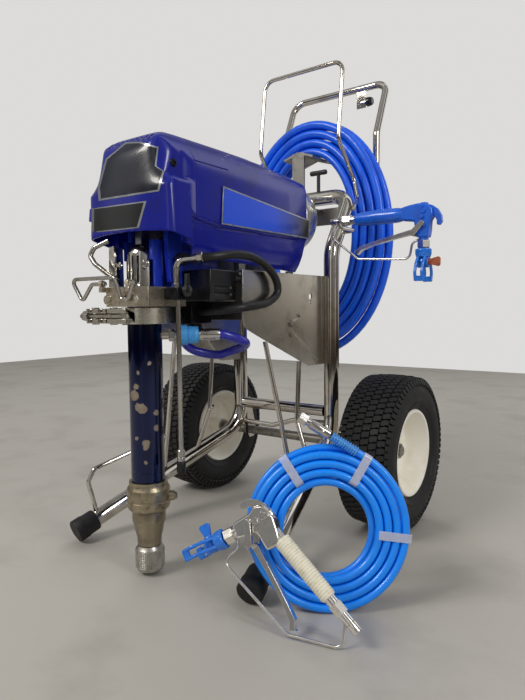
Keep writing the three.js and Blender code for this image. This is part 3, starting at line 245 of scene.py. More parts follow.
def coil_route(turns, pitch, diameter, half_u, half_v, start, centre, u, v, steps=72):
    """The hose's centreline in machine millimetres: turns in each of two layers, climbing about the reversal."""
    normal = u.cross(v)
    line = []
    for i in range(2 * turns * steps + 1):
        turned_so_far = i / steps
        inward = pitch * (turned_so_far if turned_so_far <= turns else 2 * turns - turned_so_far)
        side = -pitch / 2 + pitch * min(1, max(0, 2 * (turned_so_far - turns) + 0.5))
        angle = math.radians(start) + 2 * math.pi * turned_so_far
        along_u, along_v = (half_u - inward) * math.cos(angle), (half_v - inward) * math.sin(angle)
        line.append(centre + u * along_u + v * along_v + normal * side)
    first = line[0] + (line[0] - line[1]).normalized() * diameter
    return [first, *line, line[-1] + (line[-1] - line[-2]).normalized() * diameter]


def hose(name, line, diameter, material):
    """A round hose as one curve along its centreline."""
    data = bpy.data.curves.new(name, "CURVE")
    data.dimensions, data.bevel_depth, data.bevel_resolution, data.use_fill_caps = "3D", diameter / 2000, 4, True
    data.twist_mode = "MINIMUM"
    spline = data.splines.new("POLY")
    spline.points.add(len(line) - 1)
    for point, place in zip(spline.points, line):
        point.co = (*at(*place), 1)
    data.materials.append(material)
    obj = bpy.data.objects.new(name, data)
    bpy.context.scene.collection.objects.link(obj)
    return obj


def length_of(line):
    """A centreline's length in metres."""
    return sum((b - a).length for a, b in zip(line, line[1:])) / 1000


# Smooth extruded polyurethane: one saturated blue with a soft long highlight along every turn.
royal_hose = finish("smooth royal-blue polyurethane hose", "#0561f2", "#0657e2", patch=45, rough=(0.26, 0.38),
    grain=1.2, height=0.02, coat=0.25)
# The same extrusion in a lighter tint, with a slightly sharper highlight.
azure_hose = finish("smooth azure polyurethane hose", "#058bff", "#0682f6", patch=40, rough=(0.25, 0.38), grain=1.2,
    height=0.02, coat=0.25)

rear_diameter, rear_middle = 19, Vector((-22, 134.6, 618))
rear_line = coil_route(turns=4, pitch=21.1, diameter=rear_diameter, half_u=202.5, half_v=278.5, start=-90,
    centre=rear_middle, u=Vector((1, 0, 0)), v=Vector((0, 0, 1)))
rear_hose = hose("rear_hose", rear_line, rear_diameter, royal_hose)
settled(rear_hose, "machine", "royal_hose", "rear_hose_coil")
at(*rear_line[0])
length_of(rear_line)

facing, lean = math.radians(36), math.radians(12)
front_u = Vector((math.cos(facing), math.sin(facing), 0))
front_v = Vector((-math.sin(facing) * math.sin(lean), math.cos(facing) * math.sin(lean), math.cos(lean)))
front_normal = front_u.cross(front_v)
front_diameter, front_radius, floor_gap = 12.3, 120, 0.3
front_coil = dict(turns=4, pitch=13.2, diameter=front_diameter, half_u=front_radius, half_v=front_radius, start=61)
flat_line = coil_route(**front_coil, centre=Vector(), u=Vector((1, 0, 0)), v=Vector((0, 1, 0)), steps=18)
lowest = min(q.y * front_v.z + q.z * front_normal.z for q in flat_line)
front_centre = Vector((312, -377, 0)) + front_v * front_radius
front_centre.z = front_diameter / 2 + floor_gap - lowest
front_line = coil_route(**front_coil, centre=front_centre, u=front_u, v=front_v)
front_hose = hose("front_hose", front_line, front_diameter, azure_hose)
settled(front_hose, "machine", "azure_hose", "front_hose_coil")


def strap(name, degrees):
    """A tape band drawn tight round all the turns, at that angle round the front coil."""
    where = math.radians(degrees)
    outward = front_u * math.cos(where) + front_v * math.sin(where)
    onward = front_v * math.cos(where) - front_u * math.sin(where)
    outer, inner, layer = 120, 80.4, 6.6  # centrelines of the outer and inner turns, and of the two layers
    quarters = ((outer, layer, 0), (inner, layer, 90), (inner, -layer, 180), (outer, -layer, 270))
    corners = [(cx, cy, math.radians(first + 15 * k)) for cx, cy, first in quarters for k in range(7)]
    points, faces, n = [], [], len(corners)
    half_width, under, over = 6.5, 6.3, 6.9
    for side in (-half_width, half_width):
        for r in (under, over):
            section = [(cx + r * math.cos(t), cy + r * math.sin(t)) for cx, cy, t in corners]
            points += [front_centre + outward * a + front_normal * b + onward * side for a, b in section]
    for k in range(n):
        m = (k + 1) % n
        for p, q in ((0, n), (2 * n, 3 * n), (0, 2 * n), (n, 3 * n)):
            faces.append((p + k, p + m, q + m, q + k))
    return made(name, [(points, faces)], tape, "machine", "guard_blue", crease=40)


# Stretched polypropylene film: a milky sheen with fine wrinkles, through which the hose shows blue.
tape = finish("clear packing tape", "#e9effc", "#f6f8ff", patch=5, rough=(0.12, 0.26), grain=1.5, height=0.1, clear=0.6,
    coat=0.4)
strap_angles = (122, 58.5, -7.3)
for k, degrees in enumerate(strap_angles):
    strap(f"coil_strap_{k + 1}", degrees)


def turned(profile, base, axis, n=40, closed=False):
    """A form turned about an axis from (radius, distance along it) pairs; closed makes a ring of a whole section."""
    axis = Vector(axis).normalized()
    side = axis.orthogonal().normalized()
    other = axis.cross(side)
    points, rows = [], []
    for radius, along in profile:
        centre = Vector(base) + axis * along
        if radius < 1e-6:
            rows.append([len(points)] * n)
            points.append(centre)
            continue
        rows.append(list(range(len(points), len(points) + n)))
        points += [centre + (side * math.cos(a) + other * math.sin(a)) * radius
            for a in (2 * math.pi * k / n for k in range(n))]
    faces = []
    pairs = list(zip(rows, rows[1:])) + ([(rows[-1], rows[0])] if closed else [])
    for low, high in pairs:
        for k in range(n):
            face = []
            for i in (low[k], low[(k + 1) % n], high[(k + 1) % n], high[k]):
                if i not in face:
                    face.append(i)
            if len(face) > 2:
                faces.append(face)
    if not closed:
        for row in (rows[0], rows[-1]):
            if len(set(row)) > 2:
                faces.append(list(row))
    return points, faces


def bar(a, b, radius, n=24, far=None):
    """A round bar from a to b, of another radius at b if far is given."""
    a, b = Vector(a), Vector(b)
    return turned([(radius, 0), (radius if far is None else far, (b - a).length)], a, b - a, n)


tail = front_line[-1]
tail_way = (front_line[-1] - front_line[-2]).normalized()
guard_profile = [(6.2, 0.4)]
rib, rib_count, rib_pitch, rib_taper = ((6.4, 0), (8.2, 0.5), (8.6, 1.2), (8.2, 1.9), (6.4, 2.4)), 11, 4.2, 0.06
for k in range(rib_count):
    guard_profile += [(r - k * rib_taper, 1.0 + k * rib_pitch + h) for r, h in rib]
# Translucent moulded nylon: pale blue where light passes its thin ribs.
guard_finish = finish("clear azure bend-guard coil", "#58b2ff", "#3fa0f6", patch=12, rough=(0.2, 0.3), grain=0.8,
    height=0.03, clear=0.3)
# Plating over a turned surface: clear grey reflections, softened a little by handling.
bright = finish("bright nickel-plated steel", "#c9c6c1", "#b5afa6", patch=22, rough=(0.12, 0.24), metallic=1.0,
    grain=0.5, height=0.01)
bend_guard = shape("hose_bend_guard", [turned(guard_profile, tail, tail_way, 24)], guard_finish, crease=40)
settled(bend_guard, "machine", "azure_hose")
ferrule = [(7.2, 48.6), (8, 49.5), (8, 60), (7.3, 61), (7.3, 64), (8, 65), (8, 80), (7.3, 83), (6, 83.5), (6, 89)]
end_nut = [(5, 93.5), (5, 103), (9.6, 103), (10, 102.4), (10, 89.6), (9.4, 89), (0, 89), (0, 93.5)]
fitting_parts = [turned(ferrule, tail, tail_way, 32), turned(end_nut, tail, tail_way, 6)]
end_fitting = shape("hose_end_fitting", fitting_parts, bright, crease=30)
settled(end_fitting, "machine", "bright_steel", "front_hose_end")
at(*front_line[0])
length_of(front_line)

# ------------------------------------------------------------------ wheels
# Turf tyres of black rubber with rows of blocks, on dished steel rims enamelled off-white and rusting a little round
# the hub. Each runs on the axle between a collar and an end cap.


def around(parts, count, axis, phase=0.0):
    """The parts repeated round a main axis through the origin, by a Geometry Nodes tree; returns points and faces."""
    tree = bpy.data.node_groups.new("repeat round an axis", "GeometryNodeTree")
    tree.interface.new_socket("Geometry", in_out="INPUT", socket_type="NodeSocketGeometry")
    number = tree.interface.new_socket("Count", in_out="INPUT", socket_type="NodeSocketInt")
    first = tree.interface.new_socket("Phase", in_out="INPUT", socket_type="NodeSocketFloat")
    tree.interface.new_socket("Geometry", in_out="OUTPUT", socket_type="NodeSocketGeometry")
    given = add_node(tree, "NodeGroupInput")
    points = add_node(tree, "GeometryNodePoints", None, {"Count": given.outputs["Count"]})
    step = add_node(tree, "ShaderNodeMath", {"operation": "DIVIDE"}, {0: 2 * math.pi, 1: given.outputs["Count"]})
    angle = add_node(tree, "ShaderNodeMath", {"operation": "MULTIPLY_ADD"},
        {0: add_node(tree, "GeometryNodeInputIndex").outputs[0], 1: step.outputs[0], 2: given.outputs["Phase"]})
    turning = add_node(tree, "FunctionNodeAxisAngleToRotation", None, {"Axis": tuple(axis), "Angle": angle.outputs[0]})
    copies = add_node(tree, "GeometryNodeInstanceOnPoints", None,
        {"Points": points.outputs[0], "Instance": given.outputs["Geometry"], "Rotation": turning.outputs[0]})
    real = add_node(tree, "GeometryNodeRealizeInstances", None, {0: copies.outputs[0]})
    painted = add_node(tree, "GeometryNodeSetMaterial", None, {0: real.outputs[0]})
    add_node(tree, "NodeGroupOutput", None, {0: painted.outputs[0]})
    mesh = bpy.data.meshes.new("one")
    all_points, all_faces = [], []
    for p, f in parts:
        all_faces += [[i + len(all_points) for i in face] for face in f]
        all_points += [Vector(q) for q in p]
    mesh.from_pydata(all_points, [], all_faces)
    holder = bpy.data.objects.new("one", mesh)
    bpy.context.scene.collection.objects.link(holder)
    modifier = holder.modifiers.new("repeat", "NODES")
    modifier.node_group = tree
    modifier[number.identifier], modifier[first.identifier] = count, phase
    result = bpy.data.meshes.new_from_object(holder.evaluated_get(bpy.context.evaluated_depsgraph_get()))
    done = [v.co.copy() for v in result.vertices], [list(p.vertices) for p in result.polygons]
    bpy.data.objects.remove(holder)
    return done


def moved(parts, shift):
    """The parts with shift added to every point."""
    return [([Vector(q) + Vector(shift) for q in p], f) for p, f in parts]


def block(x0, x1, y0, y1, z0, z1, draft=0.0):
    """A block, its top drawn in all round by draft."""
    points = [(x, y, z0) for x, y in ((x0, y0), (x1, y0), (x1, y1), (x0, y1))]
    a, b, c, d = x0 + draft, x1 - draft, y0 + draft, y1 - draft
    points += [(a, c, z1), (b, c, z1), (b, d, z1), (a, d, z1)]
    return points, [(3, 2, 1, 0), (4, 5, 6, 7), (0, 1, 5, 4), (1, 2, 6, 5), (2, 3, 7, 6), (3, 0, 4, 7)]


def cut(obj, cutters, material):
    """Takes the cutters away from obj and leaves a plain mesh."""
    tool = shape("cutter", cutters, material)
    difference = obj.modifiers.new("openings", "BOOLEAN")
    difference.object, difference.operation, difference.solver = tool, "DIFFERENCE", "EXACT"
    opened = bpy.data.meshes.new_from_object(obj.evaluated_get(bpy.context.evaluated_depsgraph_get()))
    obj.modifiers.clear()
    obj.data = opened
    bpy.data.objects.remove(tool)


def flat(outline, axis, low, high):
    """A flat outline drawn out along X (Y,Z pairs), Y (X,Z pairs) or Z (X,Y pairs)."""
    n = len(outline)
    put = {"X": lambda a, b, c: (c, a, b), "Y": lambda a, b, c: (a, c, b), "Z": lambda a, b, c: (a, b, c)}[axis]
    points = [put(a, b, low) for a, b in outline] + [put(a, b, high) for a, b in outline]
    ends = [list(range(n)), list(range(n, 2 * n))]
    return points, ends + [(k, (k + 1) % n, n + (k + 1) % n, n + k) for k in range(n)]


# Vulcanised rubber with a film of dust: charcoal without highlights, greyer and browner in patches.
tyre_rubber = finish("matt black turf-tyre rubber", "#161617", "#201f20", patch=35, rough=(0.55, 0.8), grain=1.5,
    height=0.1, spots=("#3a3732", 60, 0.3))
# Sprayed enamel on pressed steel: warm white with a soft gloss, and orange-brown rust in a few patches.
rim_enamel = finish("off-white rim enamel with rust", "#fbf7ec", "#f1ebdc", patch=60, rough=(0.28, 0.45), grain=4,
    height=0.04, coat=0.15, spots=("#9a6a3c", 24, 0.27))
# Old zinc plating: dull grey metal with blurred reflections.
axle_steel = finish("dull zinc-plated axle steel", "#9a978f", "#7d7870", patch=14, rough=(0.35, 0.55), metallic=0.9,
    grain=0.8, height=0.03)
wheel_x, wheel_z, block_count = 248, 155, 72
# (inner x, outer x, radius) of the six rows of tread blocks
tread_rows = ((-47.5, -33.5, 152.2), (-32, -17.4, 154.2), (-15.8, -0.9, 155), (0.9, 15.8, 155), (17.4, 32, 154.2),
    (33.5, 47.5, 152.2))
tread_root = 143
for side, name in ((1, "right"), (-1, "left")):
    centre = (side * wheel_x, 0, wheel_z)
    shoulder = [(84, -41), (88.6, -43.5), (96, -50), (110, -55.2), (124, -55), (135, -51), (143, -44), (148, -34)]
    shoulder.append((150, -18))
    carcass = shoulder + [(r, -h) for r, h in reversed(shoulder)] + [(120, 44), (130, 30), (130, -30), (120, -44)]
    tread = []
    for row, (x0, x1, r) in enumerate(tread_rows):
        hooked = [(x0, -5.6), (x0 + 8, -5.6), (x0 + 8, -4.0), (x1, -4.0), (x1, 5.6), (x0 + 5, 5.6), (x0 + 5, 4.0),
            (x0, 4.0)]
        tread.append(around([flat(hooked, "Z", tread_root, r)], block_count, (1, 0, 0),
            (row % 2) * math.pi / block_count))
    lug = [(48.6, -4.6, 149.6), (54.4, -4.2, 139), (54.4, 4.2, 139), (48.6, 4.6, 149.6)]
    lug += [(44, -4.6, 142), (49, -4.2, 134), (49, 4.2, 134), (44, 4.6, 142)]
    lug_faces = [(0, 1, 2, 3), (7, 6, 5, 4), (0, 4, 5, 1), (1, 5, 6, 2), (2, 6, 7, 3), (3, 7, 4, 0)]
    for s in (1, -1):
        tread.append(around([([(s * x, y, z) for x, y, z in lug], lug_faces)], block_count, (1, 0, 0)))
    bead_ring = [(99, 51.4), (101, 53.4), (103, 53.8), (103, 52.6), (100, 50)]
    parts = [turned(carcass, (0, 0, 0), (1, 0, 0), 96, closed=True)] + tread
    parts += [turned([(r, s * h) for r, h in bead_ring], (0, 0, 0), (1, 0, 0), 96, closed=True) for s in (1, -1)]
    tyre = shape(f"turf_tyre_{name}", moved(parts, centre), tyre_rubber, crease=32)
    settled(tyre, f"wheel_{name}", "tyre_rubber", f"tyre_{name}")
    bead_seat = [(88, -44), (86.6, -45.4), (83.6, -43), (83.4, -40), (74, -17), (72.4, -12)]
    dish = bead_seat + [(r, -h) for r, h in reversed(bead_seat)]
    dish += [(86, 47), (82, 46.5), (79, 41), (71, 20), (69, 12), (68.6, 6), (66, 2), (60, -1), (42, -5), (24, -6)]
    dish += [(19, -5), (17, -3), (17, 14), (11, 14), (11, -44), (17, -44), (17, -11), (40, -10.5), (58, -7)]
    dish += [(64, -5.5), (68.6, -6), (69.5, -14), (78, -36), (82, -46.5), (86, -47)]
    dished = turned([(r, h * side) for r, h in dish], (0, 0, 0), (1, 0, 0), 72, closed=True)
    rim = shape(f"dished_rim_{name}", moved([dished], centre), rim_enamel, crease=30)
    cut(rim, moved([block(side * 4 - 26, side * 4 + 42, -7, 7, 40, 53)], centre), rim_enamel)
    settled(rim, f"wheel_{name}", "white_paint", f"rim_{name}")
    valve = shape(f"tyre_valve_{name}", [bar((side * 234, 0, 201), (side * 258, 0, 204), 2.4, 12),
        bar((side * 252, 0, 203.2), (side * 262, 0, 204.6), 3.6, 12)], tyre_rubber, bevel=0.4)
    settled(valve, f"wheel_{name}", "black_rubber")
end = [(0, -271), (9.2, -271), (10, -270), (10, -266), (15, -266), (15, -262.6), (10, -262.6), (10, -203.4),
    (15, -203.4), (15, -198), (10, -198)]
axle = shape("wheel_axle", [turned(end + [(r, -h) for r, h in reversed(end)], (0, 0, 155), (1, 0, 0), 32)], axle_steel)
settled(axle, "machine", "brushed_steel", "axle")

# ------------------------------------------------------------------ tube frame
# One bent steel tube a side and a bent arch over the motor, all bright nickel plated and a little pitted, with welded
# wires between the legs and the posts. Black rubber caps close the front feet.


def bend(corners, radius, steps=10):
    """Corner points with each corner rounded to a bend of that radius."""
    corners = [Vector(c) for c in corners]
    line = [corners[0]]
    for before, corner, after in zip(corners, corners[1:], corners[2:]):
        into, out = (corner - before).normalized(), (after - corner).normalized()
        turn = into.angle(out)
        side = (out - into * into.dot(out)).normalized()
        start = corner - into * radius * math.tan(turn / 2)
        line += [start + into * radius * math.sin(turn * k / steps) + side * radius * (1 - math.cos(turn * k / steps))
            for k in range(steps + 1)]
    return line + [corners[-1]]


def pipe(line, radius, n=20):
    """A round tube along a line of points, its ends closed."""
    line = [Vector(q) for q in line]
    points, faces = [], []
    side = (line[1] - line[0]).orthogonal().normalized()
    for i, q in enumerate(line):
        way = (line[min(i + 1, len(line) - 1)] - line[max(i - 1, 0)]).normalized()
        side = (side - way * side.dot(way)).normalized()
        other = way.cross(side)
        points += [q + (side * math.cos(a) + other * math.sin(a)) * radius
            for a in (2 * math.pi * k / n for k in range(n))]
        if i:
            low = (i - 1) * n
            faces += [(low + k, low + (k + 1) % n, low + n + (k + 1) % n, low + n + k) for k in range(n)]
    return points, faces + [list(range(n)), list(range(len(points) - n, len(points)))]


# Nickel on drawn tube: mirror-like streaks that follow the bends, with small dark pits.
nickel_tube = finish("bright nickel-plated frame tube", "#d6d1c9", "#bbb3a8", patch=55, rough=(0.03, 0.09),
    metallic=1.0, grain=0.7, height=0.006, spots=("#6b5b4b", 5, 0.24))
# Pressed-on rubber: black, with hardly a highlight.
cap_rubber = finish("black rubber foot cap", "#17171a", "#232326", patch=20, rough=(0.55, 0.7), grain=1.2, height=0.06)
post_x, post_y, knee_z, lean_z = 122.6, -29, 175, 566
foot_x, foot_y, foot_z = 208, -428, 24.2
tube_radius, wire_radius, arch_z = 16, 4.5, 694
lean_y = lambda z: post_y + 0.65 * (z - lean_z)
leg_end = lambda s: Vector((s * foot_x, foot_y, foot_z))
knee = lambda s: Vector((s * post_x, post_y, knee_z))


def leg_at(s, y, lift=0):
    """The middle of a front leg at that y, raised by lift."""
    t = (y - post_y) / (foot_y - post_y)
    return knee(s).lerp(leg_end(s), t) + Vector((0, 0, lift))


arch_y, arch_low = lean_y(arch_z), 640.3
arch_line = [(post_x, lean_y(arch_low), arch_low), (post_x, arch_y, arch_z), (-post_x, arch_y, arch_z),
    (-post_x, lean_y(arch_low), arch_low)]
made("arch_tube", [pipe(bend(arch_line, 42), tube_radius, 32)], nickel_tube, "machine", "frame_chrome", "frame_arch")
plate_low = lambda y: 404 + ((y + 292) / (292 - 108)) * (331 - 404)
for s, name in ((1, "right"), (-1, "left")):
    tube = pipe(bend([leg_end(s), knee(s), (s * post_x, post_y, lean_z), (s * post_x, lean_y(640), 640)], 70),
        tube_radius, 32)
    web = [(-17, 196), (-17, 236), (-5, 236), (17, 162), (17, 148), (8, 138), (-8, 138), (-14, 150), (-14, 168)]
    parts = [tube, flat(web, "X", s * 116.6 - 3, s * 116.6 + 3)]
    parts.append(pipe([(s * 113, -256, plate_low(-256) - 2.1), leg_at(s, -240, 4)], wire_radius, 16))
    strut = bend([(s * 113, -142, plate_low(-142) - 2.1), (s * 114, -152, 226), leg_at(s, -158, 2)], 30)
    parts.append(pipe(strut, wire_radius, 16))
    parts.append(turned([(4.4, 0), (6.6, 2), (6.8, 5), (5, 7)], leg_at(s, -240, 12), (0, 0, 1), 16))
    if s > 0:
        peg_z = 606.6
        peg = [(post_x, lean_y(peg_z), peg_z), (162, lean_y(peg_z), peg_z), (162, -64, peg_z), (162, -64, 624)]
        parts.append(pipe(bend(peg, 10, 6), wire_radius, 16))
    else:
        rear = Vector((-113, -256, plate_low(-256))).lerp(leg_at(-1, -240, 4), 0.72)
        front_wire = bend([rear, (-202, -396, 136), (-206, -408, 112), leg_at(-1, -392, 4)], 14, 8)
        cross_wire = bend([(-114.6, -30, 182), (-30, -30, 180), (35, -30, 200), (105.8, -30, 200)], 22, 8)
        parts += [pipe(front_wire, wire_radius, 16), pipe(cross_wire, 5.5, 16)]
        parts.append(bar((-post_x, post_y, 226), (106.3, post_y, 226), 12, 32))
    made(f"frame_tube_{name}", parts, nickel_tube, "machine", "frame_chrome", f"frame_side_{name}")
    way = (leg_end(s) - knee(s)).normalized()
    end = leg_end(s)
    cup = [(17.2, -34), (19.6, -34), (20.4, -32), (20.8, -12), (21.9, -10), (22, 8), (20.6, 10), (0, 10), (0, 0.3),
        (17.2, 0.3)]
    made(f"foot_cap_rubber_{name}", [turned(cup, end, way, 40)], cap_rubber, "machine", "black_rubber",
        f"foot_cap_{name}", crease=40)

# ------------------------------------------------------------------ side plates and deck
# Folded steel plates, brushed and bare, carry the drive in front of the posts. The motor's deck hangs between them, and
# each has a keyhole opening and three bolts that show from outside.


def refined(node, name, material, body, slot, bevel=0.6, crease=32, opened=None):
    """A CAD node's own form with its doubles merged, cut by opened, its edges rounded and its round faces smooth."""
    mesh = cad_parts[node].data.copy()
    mesh.name = name
    mesh.materials.clear()
    mesh.materials.append(material)
    work = bmesh.new()
    work.from_mesh(mesh)
    bmesh.ops.remove_doubles(work, verts=work.verts, dist=2e-6)
    bmesh.ops.dissolve_limit(work, angle_limit=math.radians(0.6), verts=work.verts, edges=work.edges)
    work.to_mesh(mesh)
    work.free()
    for polygon in mesh.polygons:
        polygon.material_index = 0
    mesh.shade_smooth()
    mesh.set_sharp_from_angle(angle=math.radians(crease))
    obj = bpy.data.objects.new(name, mesh)
    bpy.context.scene.collection.objects.link(obj)
    if opened:
        cut(obj, opened, material)
    if bevel:
        round_edges(obj, bevel, crease + 2)
    return settled(obj, body, slot, node)


# Cold-rolled sheet, brushed and left bare: broad milky reflections and small brown stains.
brushed = finish("brushed bare steel sheet", "#cfccc5", "#b0aaa0", patch=70, rough=(0.16, 0.3), metallic=1.0, grain=1.2,
    height=0.01, spots=("#6b6257", 5, 0.26))
# Zinc on folded sheet: mid grey with blurred reflections, darker than the bare plates.
dark_steel = finish("zinc-plated folded steel", "#8f8d8a", "#757370", patch=30, rough=(0.35, 0.5), metallic=0.9,
    grain=1.5, height=0.03)
for name in ("right", "left"):
    refined(f"side_plate_{name}", f"side_plate_sheet_{name}", brushed, "machine", "brushed_steel", 0.4)
refined("deck", "motor_deck", dark_steel, "machine", "brushed_steel", 0.5)

# ------------------------------------------------------------------ motor
# A black steel can with a polished cast end bell, bolted on by four feet, that shows behind the cowl. The wound
# armature, the gears and the crank turn inside; they keep the plain forms of their solids.

# Stoved enamel on a drawn can: near black with a soft sheen.
can_black = finish("satin black motor-can enamel", "#1d1e21", "#2a2b2e", patch=25, rough=(0.4, 0.55), grain=1.2,
    height=0.03)
# Varnished copper wire, drawn coarser than it is so that it shows: fine red-brown streaks with a low gloss.
windings = finish("varnished copper windings", "#7a4a26", "#4f2f1a", patch=6, rough=(0.3, 0.5), metallic=0.5, grain=1.2,
    height=0.1, stretch=(1, 6, 1))
# Ground and oiled steel: an even cool grey with satin highlights.
machined = finish("machined gear steel", "#9c9da0", "#7e7f83", patch=18, rough=(0.25, 0.4), metallic=1.0, grain=0.8,
    height=0.02)
# A casting polished by hand: bright rippled reflections, with brown-grey pits left in it.
polished = finish("polished cast aluminium", "#ebebe9", "#cfcdc8", patch=20, rough=(0.2, 0.38), metallic=1.0, grain=1.4,
    height=0.03, spots=("#6f6558", 6, 0.27))
refined("motor_can", "motor_can_shell", can_black, "machine", "black_metal", 0.5)
bell = [(56, -38), (60, -37), (62, -34), (70, -28), (73, -25), (74, -22), (74, 6), (73, 14), (69, 24), (61, 33),
    (50, 41), (35, 48), (21, 52), (9, 53.6), (9, 50), (33, 45), (56, 31), (66, 16), (70, 2), (70, -22), (58, -34),
    (56, -36)]
motor_z = 641
foot_places = [Vector((math.cos(a), 0, math.sin(a))) * 55 + Vector((0, 0, motor_z)) for a in (0.5, 2.4, 3.64, 5.5)]
feet = [bar(q + Vector((0, 16, 0)), q + Vector((0, 24, 0)), 4, 6) for q in foot_places]
dome_parts = [turned(bell, (0, -20, motor_z), (0, 1, 0), 72, closed=True), *feet]
made("motor_end_dome", dome_parts, polished, "machine", "bright_steel", "motor_end_bell", crease=30)
refined("armature", "motor_armature", windings, "armature", "copper_brown", 0)
refined("reduction_gear", "first_gear", machined, "reduction_gear", "brushed_steel", 0.2)
refined("crankshaft", "crank_and_gear", machined, "crankshaft", "brushed_steel", 0.2)

# ------------------------------------------------------------------ cowl
# Deep royal-blue gloss moulding in two parts: a front cap over the crank, with air slots in its top rim, and the
# shroud behind it. One rounded skin is drawn over the machine, cut along the seam and given its 3 mm wall. Bare film
# plates with aluminium edges lie on it.

# Moulded in a polished tool: a deep even blue whose gloss shows the room with soft edges.
cowl_blue = finish("deep royal-blue gloss moulding", "#111b8c", "#0f177c", patch=70, rough=(0.16, 0.26), grain=2.5,
    height=0.01, coat=0.16)


def ramp(x, table):
    """Straight between (x, y) pairs and level past them."""
    for (x0, y0), (x1, y1) in zip(table, table[1:]):
        if x <= x1:
            return y0 + (y1 - y0) * max(0.0, (x - x0) / (x1 - x0))
    return table[-1][1]


def cowl_excess(q):
    """How far a place is outside the cowl's rounded form, in millimetres; below zero it is inside."""
    x, y, z = abs(q.x), q.y, q.z
    roof = ramp(y, ((-482, 690), (-468, 708), (-452, 722), (-434, 730), (-405, 734), (-292, 735), (-230, 732),
        (-160, 724), (-66, 707), (-40, 701)))
    crown = ramp(x, ((0, 741), (20, 739), (34, 734), (48, 727), (58, 719), (68, 709), (76, 699), (83, 686), (88, 672),
        (92, 650)))
    at_front = ramp(y, ((-424, 1), (-404, 0)))
    band = ramp(z, ((575, 12), (646, 9), (654, -7))) * at_front
    ledge = ramp(y, ((-470, 620), (-404, 592), (-344, 584), (-40, 586)))
    belly = ramp(z, ((505, 55), (520, 67), (535, 74), (555, 79), (575, 81), (700, 81)))
    flank = (ramp(z, ((ledge - 1.5, belly), (ledge + 1.5, 88))) if y > -424 else 88 + band)
    upper_nose = -480 + 0.003 * x * x + (16.0 * ((x - 50) / 26) ** 2 if x > 50 else 0)
    nose = upper_nose + (-484.8 + 0.0016 * x * x - upper_nose) * ramp(z, ((636, 1), (704, 0))) * at_front
    tail = 80 + ramp(y, ((-130, 8), (-57, 0.5)))
    sides = [z - roof, z - crown, x - flank, nose - y, x - tail - band]
    softness = 3.2  # how far the sides blend where they meet
    top = max(sides)
    return top + softness * math.log(sum(math.exp((d - top) / softness) for d in sides))


def cowl_reach(origin, way):
    """Where a ray from inside leaves the cowl's form."""
    low, high = 0.0, 400.0
    for _ in range(26):
        half = (low + high) / 2
        if cowl_excess(origin + way * half) < 0:
            low = half
        else:
            high = half
    return origin + way * low


rows = []
cowl_z, cowl_back, cowl_length, nose_rows = 625, -40, 396, 26
nose_centre = Vector((0, cowl_back - cowl_length, cowl_z))
angles = [2 * math.pi * k / 160 for k in range(160)]
for y in [cowl_back - cowl_length * k / 90 for k in range(91)]:
    rows.append([cowl_reach(Vector((0, y, cowl_z)), Vector((math.sin(a), 0, math.cos(a)))) for a in angles])
for k in range(1, nose_rows):
    polar = math.radians(90 - 90 * k / nose_rows)
    across_nose, ahead = math.sin(polar), -math.cos(polar)
    rows.append([cowl_reach(nose_centre, Vector((math.sin(a) * across_nose, ahead, math.cos(a) * across_nose)))
        for a in angles])
skin_points = [q for row in rows for q in row] + [cowl_reach(nose_centre, Vector((0, -1, 0)))]
n = len(angles)
skin_faces = [(i * n + k, i * n + (k + 1) % n, (i + 1) * n + (k + 1) % n, (i + 1) * n + k)
    for i in range(len(rows) - 1) for k in range(n)]
last_row = (len(rows) - 1) * n
skin_faces += [(last_row + k, last_row + (k + 1) % n, len(skin_points) - 1) for k in range(n)]
cowl_tree = BVHTree.FromPolygons([at(*q) for q in skin_points], skin_faces)


def cowl_part(name, planes):
    """The skin cut by planes, each a (point, normal of the side taken off), with its 3 mm wall."""
    obj = shape(name, [(skin_points, skin_faces)], cowl_blue, crease=50)
    work = bmesh.new()
    work.from_mesh(obj.data)
    for point, normal in planes:
        everything = work.verts[:] + work.edges[:] + work.faces[:]
        bmesh.ops.bisect_plane(work, geom=everything, plane_co=at(*point), plane_no=Vector(normal), clear_outer=True)
    work.to_mesh(obj.data)
    work.free()
    wall = obj.modifiers.new("wall", "SOLIDIFY")
    wall.thickness, wall.offset, wall.use_even_offset = 0.003, -1, False
    round_edges(obj, 0.8, 60)
    return obj


def from_frame(place):
    """A place in the frame as machine millimetres."""
    return Vector((place.x * 1000 + frame_x, place.y * 1000 + frame_y, place.z * 1000))


front = cowl_part("cowl_front_cap", [((0, -404.3, 600), (0, 1, 0)), ((0, -478, 567), (0, -0.236, -0.972))])
slots = []
slot_count, slot_pitch, slot_tilt = 9, 11.5, Matrix.Rotation(math.radians(-50), 3, "X")
for k in range(slot_count):
    x = (k - slot_count // 2) * slot_pitch
    hit = cowl_tree.ray_cast(at(x, -520, 780), Vector((0, 0.66, -0.75)).normalized())[0]
    points, faces = block(-2.4, 2.4, -13, 13, -8, 8)
    slots.append(([from_frame(hit) + slot_tilt @ Vector(q) for q in points], faces))
cut(front, slots, cowl_blue)
settled(front, "machine", "blue_paint", "front_cowl")
shroud_planes = [((0, -403.7, 600), (0, -1, 0)), ((0, -244, 527.5), (0, -0.0406, -0.99917))]
shroud_planes += [((0, -58.5, 640), (0, 1, 0.02)), ((0, -72, 556.5), (0, 0.947, -0.32))]
shroud = cowl_part("motor_shroud_moulding", shroud_planes)
grooves = [block(s * 86.7, s * 96, -347.5, -346.5, 588, 690) for s in (1, -1)]
grooves += [block(s * 79.5, s * 96, -404.5, -318, 682.6, 683.5) for s in (1, -1)]
cut(shroud, grooves, cowl_blue)
settled(shroud, "machine", "blue_paint", "motor_shroud")


